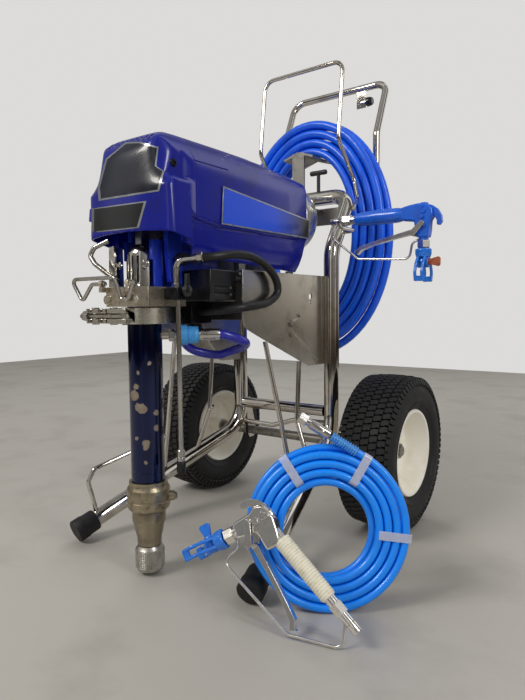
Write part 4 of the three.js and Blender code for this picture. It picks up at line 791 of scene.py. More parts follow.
def on_cowl(outline, thickness, name, material, inset=1.0):
    """A thin plate that follows the cowl behind an outline in the photograph's pixels, drawn in by inset."""
    centre = sum((Vector(p) for p in outline), Vector((0, 0))) / len(outline)
    border = [centre + (Vector(p) - centre) * inset for p in outline]
    dense = []
    for a, b in zip(border, border[1:] + border[:1]):
        dense += [a.lerp(b, k / 6) for k in range(6)]
    low = [min(p[i] for p in dense) for i in (0, 1)]
    high = [max(p[i] for p in dense) for i in (0, 1)]
    cells = [int((high[i] - low[i]) / 3) for i in (0, 1)]
    inside = [Vector((low[0] + 3.0 * i, low[1] + 3.0 * j)) for i in range(1, cells[0]) for j in range(1, cells[1])]
    count = len(dense)
    rim_edges, whole = [(k, (k + 1) % count) for k in range(count)], [list(range(count))]
    spots, _, triangles, *_ = delaunay_2d_cdt(dense + inside, rim_edges, whole, 1, 0.3)
    front_points, back_points = [], []
    for p in spots:
        place, normal, _, _ = cowl_tree.ray_cast(eye, seen(p.x, p.y))
        if place is None:
            place, normal, _, _ = cowl_tree.find_nearest(eye + seen(p.x, p.y) * 0.98)
        normal = normal if normal.dot(eye - place) > 0 else -normal
        for points, lift in ((front_points, thickness), (back_points, -0.2)):
            points.append(from_frame(place + normal * lift / 1000))
    total = len(spots)
    used = {(a, b) for t in triangles for a, b in zip(t, list(t[1:]) + [t[0]])}
    rims = [(a, b) for a, b in used if (b, a) not in used]
    faces = [list(t) for t in triangles] + [[i + total for i in reversed(t)] for t in triangles]
    faces += [(b, a, a + total, b + total) for a, b in rims]
    return shape(name, [(front_points + back_points, faces)], material, crease=45)


# Rolled aluminium with a satin etch: a pale line round each plate.
plate_edge = finish("satin aluminium plate edge", "#b9bcc2", "#a4a8ae", patch=20, rough=(0.25, 0.35), metallic=0.9)
# Polyester film printed on its back: almost black navy under a clear satin face.
plate_dark = finish("screen-printed dark navy film", "#0b0f22", "#10152c", patch=40, rough=(0.25, 0.36), grain=1.0,
    height=0.01, coat=0.3)
# The same film printed black.
plate_black = finish("screen-printed black film", "#101114", "#17181c", patch=40, rough=(0.25, 0.36), grain=1.0,
    height=0.01, coat=0.3)
# outlines in the photograph's pixels
shield = [(105.8, 159), (125.9, 142.4), (139.7, 141.8), (158.6, 147), (156.3, 166), (164.4, 171.7), (159.2, 191.2),
    (98.9, 200.9), (97.8, 189)]
lower_bar = [(92, 208.4), (146.6, 200.9), (139.1, 227.9), (92, 233)]
for outline, name, film in ((shield, "upper_front_plate", plate_dark), (lower_bar, "lower_front_plate", plate_black)):
    settled(on_cowl(outline, 0.5, name + "_edge", plate_edge), "machine", "brushed_steel")
    settled(on_cowl(outline, 0.9, name + "_film", film, 0.93 if name[0] == "u" else 0.9), "machine", "black_plastic")

# The same film printed with a fade: bright blue that runs to black towards its rear end.
side_film = bpy.data.materials.new("screen-printed blue film fading to black")
side_film.use_nodes = True
tree = side_film.node_tree
tree.nodes.clear()
along = add_node(tree, "ShaderNodeSeparateXYZ", None, {0: add_node(tree, "ShaderNodeTexCoord").outputs["Object"]})
fade_from, fade_to = at(0, -190, 0).y, at(0, -80, 0).y
fade = add_node(tree, "ShaderNodeMapRange", None, {0: along.outputs[1], 1: fade_from, 2: fade_to})
grit = add_node(tree, "ShaderNodeTexNoise", None, {"Scale": 900.0})
tone = add_node(tree, "ShaderNodeMix", {"data_type": "RGBA"}, {0: fade.outputs[0], 6: linear("#1b4fe0"),
    7: linear("#0a0c14")})
bump = add_node(tree, "ShaderNodeBump", None, {"Distance": 0.00001, "Height": grit.outputs[0]})
skin = add_node(tree, "ShaderNodeBsdfPrincipled", None, {"Base Color": tone.outputs[2], "Roughness": 0.3,
    "Coat Weight": 0.3, "Normal": bump.outputs[0]})
add_node(tree, "ShaderNodeOutputMaterial", None, {0: skin.outputs[0]})
edge_outline = [(-338, 653), (-62, 629), (-64, 590), (-344, 589)]
film_outline = [(-335.5, 650), (-64.5, 626.4), (-66.3, 592.6), (-341, 591.6)]
flank_x = 87.2
for s, name in ((1, "right"), (-1, "left")):
    edge_plate = flat(edge_outline, "X", s * flank_x, s * (flank_x + 1.5))
    film_plate = flat(film_outline, "X", s * (flank_x + 1.4), s * (flank_x + 1.9))
    made(f"side_band_edge_{name}", [edge_plate], plate_edge, "machine", "brushed_steel", bevel=0.3)
    made(f"side_band_film_{name}", [film_plate], side_film, "machine", "light_blue_plastic")
# Steel blackened in an oxide bath: dark, with a weak blurred glint.
screw_black = finish("black oxide screw steel", "#1a1a1c", "#26262a", patch=6, rough=(0.35, 0.5), metallic=0.7)
# a cap screw on the front cap's right cheek, at this pixel, and the latch on its left edge
screw_pixel = (173.2, 162.7)
place, normal, _, _ = cowl_tree.ray_cast(eye, seen(*screw_pixel))
outwards = normal if normal.dot(eye - place) > 0 else -normal
screw_head = [(6.2, -1), (6.4, 1.2), (5.6, 2.4), (3.2, 2.8), (3.0, 1.6), (0, 1.6)]
made("cowl_screw", [turned(screw_head, from_frame(place), outwards, 32)], screw_black, "machine", "black_metal",
    crease=40)
made("cowl_latch", [block(-110, -98, -462, -440, 598, 620, 1.5)], cowl_blue, "machine", "blue_paint", bevel=1.5)

# ------------------------------------------------------------------ drive casting and front block
# The blue-painted casting carries gears and crank; below it a bare nickel-coloured block guides the rod and holds the
# pail hook's bosses. A bright slotted shield keeps fingers off the rod.

# Metal-flake paint on a sand casting: royal blue that lights up on rounded edges.
cast_blue = finish("metallic blue casting paint", "#2b49d8", "#2038b8", patch=30, rough=(0.24, 0.4), metallic=0.45,
    grain=1.5, height=0.03, coat=0.3)
# Left as cast: warm grey metal, bright on its rubbed faces and brown in its pores.
cast_nickel = finish("bare nickel-bronze casting", "#d2c9b8", "#b0a591", patch=16, rough=(0.22, 0.38), metallic=0.95,
    grain=1.6, height=0.06, spots=("#5c4a38", 7, 0.31))
front_opening = block(-30.2, 30.2, -520, -441, 486, 566)
refined("drive_housing", "drive_casting", cast_blue, "machine", "blue_casting", 1.0, opened=[front_opening])
refined("bearing_block", "rod_guide_block", cast_nickel, "machine", "cast_steel", 1.0)
refined("displacement_rod", "piston_rod", bright, "displacement_rod", "bright_steel", 0.3)
refined("connecting_rod", "crank_rod", machined, "connecting_rod", "brushed_steel", 0.6)
upright = (0, 0, 1)
pump_axis = ((0, -440, 0), upright)
dome = [(26, 483.3), (26, 530), (25, 538), (21.6, 546), (16, 551.5), (8, 554.4), (0, 555), (0, 552.6), (7, 552),
    (14.4, 549.4), (19.6, 544), (22.6, 537), (23.6, 530), (23.6, 483.3)]
guard_dome = shape("rod_shield_dome", [turned(dome, *pump_axis, 64, closed=True)], bright, crease=40)
shield_slots = [block(x - 1.9, x + 1.9, -480, -440, 491, 533) for x in (-15, -6, 3, 12)]
cut(guard_dome, [block(-60, 60, -449, -380, 470, 560)] + shield_slots, bright)
settled(guard_dome, "machine", "bright_steel", "rod_shield")
neck = shape("rod_neck_shell", [turned([(30.6, 484), (34, 484), (34, 559), (30.6, 559)], *pump_axis, 64, closed=True)],
    cast_blue, crease=40)
cut(neck, [block(-60, 60, -500, -447, 470, 570), block(-20, 20, -418, -390, 470, 570)], cast_blue)
settled(neck, "machine", "blue_casting")
bolt_head = [(0, -4), (3.2, -4), (3.2, 0), (7.4, 0), (7.4, 1.2), (5.6, 1.6), (5.2, 6), (4.4, 6.8), (0, 6.8)]
neck_parts = [turned(bolt_head, (x, -463, 519), (x * 0.6, -36, 0), 6) for x in (30.5, -30.5)]
neck_parts += [block(-45, -32, -474, -468, 485, 550, 0.6), block(-45, -41, -474, -446, 485, 550, 0.4)]
made("neck_bolts", neck_parts, bright, "machine", "bright_steel", bevel=0.8, crease=28)
# Zinc on drawn wire: light grey with thin highlights along its length.
hook_steel = finish("bright zinc-plated wire", "#bcb9b4", "#a59f95", patch=20, rough=(0.16, 0.3), metallic=1.0,
    grain=0.6, height=0.01)
hook_y, hook_z = -497.2, 488.4
hook_corners = [(46, hook_y, hook_z), (38, hook_y, hook_z), (27, hook_y - 1, 463), (13, hook_y - 1, 463)]
hook_corners += [(-3, hook_y - 1, hook_z + 9.5), (-112, hook_y - 1, hook_z + 9.5), (-84, hook_y - 1, 461)]
hook_line = bend(hook_corners + [(-60, hook_y, hook_z), (-26, hook_y, hook_z)], 6, 6)
made("pail_hook_wire", [pipe(hook_line, 3.2, 16)], hook_steel, "pail_hook", "bright_steel", "pail_hook")
spare = bend([(-44, -474, 560), (-66, -486, 549), (-72, -490, 536), (-60, -490, 522), (-34, -484, 504),
    (-20, -480, 497)], 7, 6)
made("hanger_wire", [pipe(spare, 4, 14)], hook_steel, "machine", "bright_steel")

# ------------------------------------------------------------------ pump
# A dark blue chromed cylinder, worn to bare metal in places, over a cast lower housing with a lug, the intake cone and
# a knurled nut at the foot, all screwed together on one axis. The packings and the ball sit inside.

# Hard chrome with a blue-black ground: a dark mirror; where it is worn through, dull grey and brown metal.
dark_chrome = finish("worn dark-blue hard chrome", "#0c1a4a", "#0a1438", patch=45, rough=(0.05, 0.12), metallic=0.85,
    grain=0.6, height=0.006, coat=0.6, spots=("#8d8779", 3, 0.25))
tree = dark_chrome.node_tree
chrome = next(n for n in tree.nodes if n.type == "BSDF_PRINCIPLED")
place = add_node(tree, "ShaderNodeTexCoord").outputs["Object"]
ragged = add_node(tree, "ShaderNodeTexNoise", None, {"Vector": place, "Scale": 160.0, "Detail": 6.0,
    "Roughness": 0.75}).outputs[0]
bare = None
# (x, y, z, radius) of each worn patch
worn_patches = ((5.5, -467.5, 322, 5), (1.4, -468, 307.5, 9), (9, -466.5, 288, 7), (15, -464, 286, 8.5),
    (19.1, -460.5, 228.6, 6), (18.5, -461, 222, 4.5), (18.5, -461, 197, 3), (27.6, -445, 252.5, 5),
    (27.7, -444.3, 278, 5), (4.6, -467.6, 236.7, 3.5), (24, -454.4, 360, 3), (10, -466, 345, 3))
for x, y, z, r in worn_patches:
    near = add_node(tree, "ShaderNodeVectorMath", {"operation": "DISTANCE"},
        {0: place, 1: tuple(at(x, y, z))}).outputs["Value"]
    edge = add_node(tree, "ShaderNodeMath", {"operation": "MULTIPLY_ADD"}, {0: ragged, 1: -0.012, 2: near}).outputs[0]
    worn = add_node(tree, "ShaderNodeMapRange", None, {0: edge, 1: (r - 6.6) / 1000, 2: (r - 5.6) / 1000, 3: 1.0,
        4: 0.0}).outputs[0]
    bare = worn if bare is None else add_node(tree, "ShaderNodeMath", {"operation": "MAXIMUM"},
        {0: bare, 1: worn}).outputs[0]
under = add_node(tree, "ShaderNodeMix", {"data_type": "RGBA"}, {0: ragged, 6: linear("#c9c1b4"),
    7: linear("#7a6248")}).outputs[2]
colour_now, rough_now = (chrome.inputs[key].links[0].from_socket for key in ("Base Color", "Roughness"))
for key, kind, inputs, output in (
    ("Base Color", "RGBA", {0: bare, 6: colour_now, 7: under}, 2),
    ("Roughness", "FLOAT", {0: bare, 2: rough_now, 3: 0.45}, 0),
    ("Coat Weight", "FLOAT", {0: bare, 2: 0.6, 3: 0.0}, 0),
):
    mixed = add_node(tree, "ShaderNodeMix", {"data_type": kind}, inputs)
    tree.links.new(mixed.outputs[output], chrome.inputs[key])
# Cast and left bare, stained by paint and water: khaki-grey metal with dull brown patches.
housing_cast = finish("cast nickel-bronze housing", "#aca18a", "#8a7d67", patch=12, rough=(0.26, 0.45), metallic=1.0,
    grain=1.3, height=0.08, spots=("#5a4a36", 6, 0.32))
# Cast in sand and blasted: an even warm grey with a granular soft shine.
cone_cast = finish("sand-cast intake steel", "#9f9581", "#8a8070", patch=40, rough=(0.25, 0.38), metallic=0.97,
    grain=1.3, height=0.03, spots=("#6a5d4b", 5, 0.27))
# Zinc plating on a knurl: light grey tips with dark grime between them.
zinc = finish("zinc-plated nut", "#bab7b0", "#9f9a90", patch=9, rough=(0.3, 0.45), metallic=1.0, grain=0.8, height=0.03,
    spots=("#7a7062", 4, 0.3))
out_way = Vector((math.sqrt(0.5), math.sqrt(0.5), 0))
outlet = (0, -440, 404)
out_at = lambda d: Vector(outlet) + out_way * d
cylinder = [(22, 161.3), (27.2, 161.3), (28, 162.2), (28, 176), (27.4, 176.6), (27.4, 178), (28, 178.6), (28, 450.8),
    (27.2, 451.6), (22, 451.6)]
made("pump_cylinder_tube", [turned(cylinder, *pump_axis, 96, closed=True)], dark_chrome, "machine", "dark_chrome",
    "pump_cylinder", crease=30)
outlet_nut = turned([(9.6, 39), (10.5, 39.8), (10.5, 47.4), (9.6, 48.2)], outlet, out_way, 6)
outlet_parts = [bar(out_at(25), out_at(39), 7, 24), outlet_nut, bar(out_at(48), out_at(52), 8, 24)]
made("outlet_fitting", outlet_parts, bright, "machine", "bright_steel", crease=28)
lower_profile = [(12, 110), (29, 110), (31, 111.2), (34.6, 115), (36, 119), (36, 127), (34.8, 128), (34.8, 131),
    (36, 132), (36, 147), (35, 149.4), (32.6, 153), (32, 156), (32, 161), (22, 161), (22, 142), (12, 130)]
lug = Vector((0.809, 0.588, 0))
lug_at = lambda r, z: Vector((lug.x * r, -440 + lug.y * r, z))
lug_eye = turned([(2.5, -4.6), (4.6, -4.6), (4.6, 4.6), (2.5, 4.6)], lug_at(44, 133), upright, 20, closed=True)
lower_parts = [turned(lower_profile, *pump_axis, 72, closed=True), bar(lug_at(30, 133), lug_at(44, 133), 9, 24, 8),
    lug_eye]
made("pump_lower_housing", lower_parts, housing_cast, "machine", "cast_steel", "lower_housing", crease=32)
cone = [(9, 50), (19, 50), (20, 51.2), (20.6, 62), (21.2, 66), (23, 72), (25.4, 86), (27, 90), (28, 94), (28, 106),
    (27, 109.7), (9, 109.7)]
made("intake_cone_casting", [turned(cone, *pump_axis, 64, closed=True)], cone_cast, "machine", "cast_steel",
    "intake_cone", crease=32)
nut_profile = [(9, 6), (19.2, 6), (21.2, 7.2), (22.6, 10.4), (23.6, 11.6), (23.6, 44), (22.4, 45.4), (20, 49.7),
    (9, 49.7)]
nut_body = turned(nut_profile, *pump_axis, 64, closed=True)
stud_faces = [(0, 1, 2, 3), (0, 4, 1), (1, 4, 2), (2, 4, 3), (3, 4, 0)]
studs = []
for z in (13.5 + 3.1 * k for k in range(10)):
    stud = [(23.2, y, z + dz) for y, dz in ((-1.7, -1.5), (1.7, -1.5), (1.7, 1.5), (-1.7, 1.5))] + [(25, 0, z)]
    studs.append((stud, stud_faces))
knurls = moved([around(studs, 44, upright)], pump_axis[0])
made("knurled_intake_nut", [nut_body, *knurls], zinc, "machine", "brushed_steel", "intake_nut", crease=30)
# Pressed leather and polymer rings in a stack: matt tan and brown bands.
packing_leather = finish("stacked leather and polymer packings", "#b08a4e", "#7c5a30", patch=5, rough=(0.6, 0.8),
    grain=1.0, height=0.1, stretch=(1, 1, 6))
refined("packing_stack", "rod_packings", packing_leather, "machine", "packing", 0.2)
refined("intake_ball", "ball_valve", bright, "machine", "bright_steel", 0)

# ------------------------------------------------------------------ clamp
# A cast ring grips the cylinder under the block. Its split is closed by a swing bolt with a hexagon nut that lies in
# the two forked ears; pins with domed heads hold bolt and hinge.

# Cast, plated and rubbed bright: pale metal with dark stains where paint has dried.
clamp_cast = finish("cast clamp steel", "#dedacf", "#c2bbac", patch=14, rough=(0.2, 0.34), metallic=1.0, grain=1.4,
    height=0.05, spots=("#62574a", 6, 0.29))
refined("clamp_ring", "clamp_casting", clamp_cast, "machine", "cast_steel", 0.8)
pin_head = [(0, 0), (5.4, 0), (6, 0.8), (6, 2.4), (0, 2.4)]
hinge_ear = [(7, 0), (11, 0.8), (11, 6.6), (9, 7.4), (0, 7.4), (0, 0)]
pin_places = ((12, -490), (-18, -489), (-62, -490))
lobes = [turned(pin_head, (x, y, z), (0, 0, up), 24) for x, y in pin_places for z, up in ((448.5, 1), (425.5, -1))]
lobes += [turned(hinge_ear, (x, -489, z), upright, 24) for x in (-40, -66) for z in (425.4, 441.8)]
made("clamp_pins", lobes, bright, "machine", "bright_steel", bevel=0.4, crease=30)
bolt_at = lambda x, lift=0: (x, -490, 437 + lift)
bolt = [bar(bolt_at(12, -4), bolt_at(12, 4), 7.6, 24), bar(bolt_at(12), bolt_at(-99), 3.8, 20),
    bar(bolt_at(-90), bolt_at(-77), 9, 6)]
thread, thread_pitch = [(3.9, 0), (4.5, 0.5), (3.9, 1.0)], 1.5
bolt += [turned(thread, bolt_at(-98 + k * thread_pitch), (1, 0, 0), 16) for k in range(5)]
made("swing_bolt_steel", bolt, zinc, "swing_bolt", "brushed_steel", "swing_bolt", bevel=0.4, crease=30)

# ------------------------------------------------------------------ boxes, valve and short hoses
# Black electrical box and filter block beside the pump, the prime valve with its stainless drain tube, and two short
# hoses: the indigo whip from the pump's light-blue nut and the black conduit to the box.

# ABS from a polished tool: black with a crisp, slightly wavy gloss.
box_black = finish("moulded black ABS", "#121214", "#18181b", patch=20, rough=(0.24, 0.38), grain=0.9, height=0.02,
    coat=0.3)
# Anodised after milling: dark grey metal whose flat faces catch a blurred pale reflection.
block_black = finish("black anodised aluminium", "#2a2b30", "#3a3b42", patch=14, rough=(0.16, 0.28), metallic=0.8,
    grain=0.8, height=0.02)
# Drawn stainless: silvery, with long fine streaks along the tube.
stainless = finish("drawn stainless tube", "#c6c4c0", "#aaa59c", patch=18, rough=(0.12, 0.24), metallic=1.0, grain=0.6,
    height=0.01, stretch=(1, 1, 0.15))
# Nylon dulled by its glass fibres: flat light blue without sharp highlights.
nut_blue = finish("light-blue glass-filled nylon", "#4aa3ea", "#3b92da", patch=9, rough=(0.4, 0.52), grain=0.8,
    height=0.05)
# Extruded cover: violet-blue with a wet-looking highlight.
indigo = finish("indigo hose cover", "#2b2cb0", "#242498", patch=25, rough=(0.22, 0.36), grain=1.2, height=0.015,
    coat=0.3)
# Smooth extruded rubber: black with a wide grey sheen on its upper side.
conduit_rubber = finish("black conduit rubber", "#111113", "#1b1b1e", patch=18, rough=(0.35, 0.5), grain=1.2,
    height=0.03)
refined("junction_box", "junction_box_moulding", box_black, "machine", "black_plastic", 2.0)
refined("filter_manifold", "filter_block", block_black, "machine", "black_metal", 1.5)
refined("control_housing", "control_box_moulding", box_black, "machine", "black_plastic", 2.0)
drain_x, drain_y, valve_z = 66, -428, 476
valve_parts = [block(49.3, 78, -442, -414, 462, 482), bar((77, drain_y, valve_z), (82, drain_y, valve_z), 6, 24)]
made("prime_valve_block", valve_parts, block_black, "machine", "black_metal", "prime_valve", bevel=1.2)
drain_collar = [(5.2, 199), (6.6, 200), (6.6, 206), (5.6, 207), (6.6, 208), (6.6, 217), (5, 219)]
drain_parts = [bar((drain_x, drain_y, 216), (drain_x, drain_y, 463), 4, 24),
    turned(drain_collar, (drain_x, drain_y, 0), upright, 24)]
made("drain_tube", drain_parts, stainless, "machine", "bright_steel", bevel=0.3)
drain_mouth = turned([(3, 181), (6.6, 181), (7.5, 182.4), (7.5, 197), (6.6, 199), (3, 199)], (drain_x, drain_y, 0),
    upright, 32)
made("drain_tube_end", [drain_mouth], conduit_rubber, "machine", "black_rubber", crease=40)
lever_hub = turned([(8.2, 82.6), (9, 83.4), (9, 89.4), (8, 90)], (0, drain_y, valve_z), (1, 0, 0), 32)
lever_outline = [(drain_y + dy, z) for dy, z in ((-5, valve_z), (-3.6, 502), (-2, 503), (2, 503), (3.6, 502),
    (5, valve_z))]
made("prime_lever_handle", [lever_hub, flat(lever_outline, "X", 84, 89)], box_black, "prime_lever", "black_plastic",
    "prime_lever", bevel=0.6)
nut = [turned([(9, 52.6), (15.8, 52.6), (17, 53.8), (17, 69), (15.6, 70), (9, 70)], outlet, out_way, 12)]
nut.append(turned([(13, 70), (14.5, 71), (14.5, 84), (13.6, 88), (8, 88)], outlet, out_way, 40))
nut += [turned([(14.3, h), (15.1, h + 0.8), (14.3, h + 1.6)], outlet, out_way, 40) for h in (73, 76.5, 80)]
made("swivel_nut_blue", nut, nut_blue, "machine", "light_blue_plastic", "swivel_nut", bevel=0.4, crease=25)
whip_ferrule = [(8, 88.4), (10, 88.6), (10.5, 89.6), (10.5, 97), (9.6, 98.4), (9.6, 101), (10.5, 102.4), (10.5, 118),
    (9.4, 124), (8, 124.6)]
made("whip_ferrule", [turned(whip_ferrule, outlet, out_way, 40)], bright, "machine", "bright_steel", crease=30)


def through(points, steps):
    """A smooth line through points, evenly stepped (centripetal spline)."""
    points = [Vector(p) for p in points]
    ends = [points[0] * 2 - points[1], *points, points[-1] * 2 - points[-2]]
    line = []
    for p0, p1, p2, p3 in zip(ends, ends[1:], ends[2:], ends[3:]):
        t = [0.0]
        for a, b in ((p0, p1), (p1, p2), (p2, p3)):
            t.append(t[-1] + max(1e-4, (b - a).length) ** 0.5)
        for k in range(steps):
            s = t[1] + (t[2] - t[1]) * k / steps
            a1 = p0 * ((t[1] - s) / (t[1] - t[0])) + p1 * ((s - t[0]) / (t[1] - t[0]))
            a2 = p1 * ((t[2] - s) / (t[2] - t[1])) + p2 * ((s - t[1]) / (t[2] - t[1]))
            a3 = p2 * ((t[3] - s) / (t[3] - t[2])) + p3 * ((s - t[2]) / (t[3] - t[2]))
            b1 = a1 * ((t[2] - s) / (t[2] - t[0])) + a2 * ((s - t[0]) / (t[2] - t[0]))
            b2 = a2 * ((t[3] - s) / (t[3] - t[1])) + a3 * ((s - t[1]) / (t[3] - t[1]))
            line.append(b1 * ((t[2] - s) / (t[2] - t[1])) + b2 * ((s - t[1]) / (t[2] - t[1])))
    return line + [points[-1]]


aside = Vector((-math.sqrt(0.5), math.sqrt(0.5), 0))
start = out_at(124)
whip = [start]
loop_radius, loop_drop = 44, 5.2
for k in range(9):
    a = k / 8 * math.pi
    ahead, beside = 6 + loop_radius * math.sin(a), loop_radius * (1 - math.cos(a))
    whip.append(start + out_way * ahead + aside * beside + Vector((0, 0, -loop_drop * k)))
whip += [Vector((0, -322, 372)), Vector((-7, -338, 386)), Vector((-8, -345, 407.7)), Vector((-8, -345, 421.7))]
made("whip_hose_cover", [pipe(through(whip, 8), 7.8, 24)], indigo, "machine", "indigo_hose", "whip_hose")
conduit = [(52.4, -412, 528), (64, -412, 528), (86, -410, 528), (110, -390, 531), (124, -350, 536), (127, -310, 534)]
conduit += [(127, -268, 520), (127, -240, 498), (127, -236, 476), (127, -262, 459), (127, -302, 452), (122, -332, 449)]
conduit += [(106, -350, 446), (84, -356, 444), (62, -356, 443), (46.3, -356, 443)]
gland = turned([(7, 0), (10.5, 1), (10.5, 12), (8, 15)], (52.6, -412, 528), (1, 0, 0), 6)
made("conduit_cover", [pipe(through(conduit, 6), 7, 24), gland], conduit_rubber, "machine", "black_rubber",
    "conduit_hose")
elbow = bend([(62, -427, 478), (62, -427, 526), (92, -410, 529)], 15, 10)
elbow_nut = turned([(4, 0), (8.2, 0), (8.2, 8), (7, 9.4), (4, 9.4)], elbow[-1], elbow[-1] - elbow[-2], 6)
elbow_foot = turned([(5, 0), (7.6, 0), (7.6, 6), (5, 7)], (62, -427, 481.6), upright, 6)
made("valve_elbow", [pipe(elbow, 5, 20), elbow_nut, elbow_foot], bright, "machine", "bright_steel", crease=30)
dial_x, dial_y, dial_z = 44, -76, 462
grip_points, grip_faces = around([block(16.2, 17.4, -1.0, 1.0, 6, 22)], 24, upright)
ridge_points = [Vector((q.x + dial_x, dial_y + q.z, dial_z - q.y)) for q in grip_points]
dial = [(19, -2.6), (20, -1.6), (20, 5), (18.6, 6), (16.6, 6.4), (16.2, 22), (15, 24), (0, 24)]
dial_parts = [turned(dial, (dial_x, dial_y, dial_z), (0, 1, 0), 48), (ridge_points, grip_faces)]
made("pressure_dial", dial_parts, box_black, "pressure_knob", "black_plastic", "pressure_knob", crease=35)
refined("power_switch", "rocker_switch", box_black, "power_switch", "black_plastic", 0.6)

# ------------------------------------------------------------------ rack, saddle, handle and pin
# A bent wire rack rises from the frame behind the motor and a push handle slides in two sleeves behind it. The folded
# saddle carries the hose; a black T-handled pin stands in the arch and a round knob sits on the handle's bracket.
rack_at = lambda s: [(s * 143.5, 30, 658), (s * 128, 80, 690), (s * 108, 104, 735), (s * 104, 34, 812),
    (s * 104, 57, 985)]
rack_line = bend(rack_at(-1) + rack_at(1)[::-1], 24, 8)
made("hose_rack_wire", [pipe(rack_line, wire_radius, 20)], nickel_tube, "machine", "frame_chrome", "rack_wire")
refined("hose_saddle", "hose_saddle_bracket", dark_steel, "machine", "brushed_steel", 0.6)
handle_side = lambda s: [(s * 130, 172, 610), (s * 130, 172, 852), (s * 130, 231, 985)]
handle_line = bend(handle_side(-1) + handle_side(1)[::-1], 30, 10)
handle_parts = [pipe(handle_line, 8, 24), block(50, 74, 229, 233, 938, 981), bar((62, 231, 950), (76, 231, 950), 6, 24)]
made("push_handle", handle_parts, nickel_tube, "cart_handle", "frame_chrome", "cart_handle", bevel=0.4)
knob = turned([(9, 76.4), (11, 78), (10.6, 84), (9, 90), (7.4, 92), (0, 92)], (0, 231, 950), (1, 0, 0), 40)
made("bracket_knob", [knob], box_black, "handle_knob", "black_plastic", "handle_knob", crease=40)
pin_x, pin_top = 43, 752
tee = turned([(3, 0), (5, 1), (5.6, 5), (5.2, 21), (5.6, 37), (5, 41), (3, 42)], (pin_x - 21, arch_y, pin_top),
    (1, 0, 0), 24)
made("locking_pin", [bar((pin_x, arch_y, 710.5), (pin_x, arch_y, pin_top), 4, 20), tee], can_black, "pull_pin",
    "black_metal", "pull_pin", crease=40)

# ------------------------------------------------------------------ spray guns
# Two airless guns of the same build: a forged body with a hanging hook, a channel trigger on a cross pin, a wire guard
# round the hand, and a screwed-on clear blue tip guard with a cross tube for the turning tip and its flag.

# Enamel on a casting: saturated blue with small clear highlights.
gun_blue = finish("blue gun enamel", "#1763dd", "#1257c8", patch=20, rough=(0.22, 0.36), grain=0.8, height=0.015,
    coat=0.4)
# Forged, polished and plated: near-white reflections, dulled by dried paint where it is held.
gun_chrome = finish("polished forged gun body", "#f1eee8", "#d9d4cb", patch=14, rough=(0.14, 0.28), metallic=1.0,
    grain=0.7, height=0.015, spots=("#756a5c", 5, 0.27))
# Moulded nylon, yellowed by use: ivory without gloss.
grip_white = finish("white ribbed nylon grip", "#e6e2d2", "#d9d3bf", patch=10, rough=(0.4, 0.55), grain=0.8,
    height=0.03)
# Moulded polycarbonate: bright clear blue, lighter at thin edges, with hard small highlights.
tip_blue = finish("clear blue polycarbonate guard", "#2f86f2", "#2a79e2", patch=14, rough=(0.12, 0.22), clear=0.25,
    coat=0.3)
# Pigmented nylon: flat orange-brown.
flag_brown = finish("orange-brown moulded flag", "#a5532e", "#8a4226", patch=8, rough=(0.45, 0.6), grain=0.8,
    height=0.03)


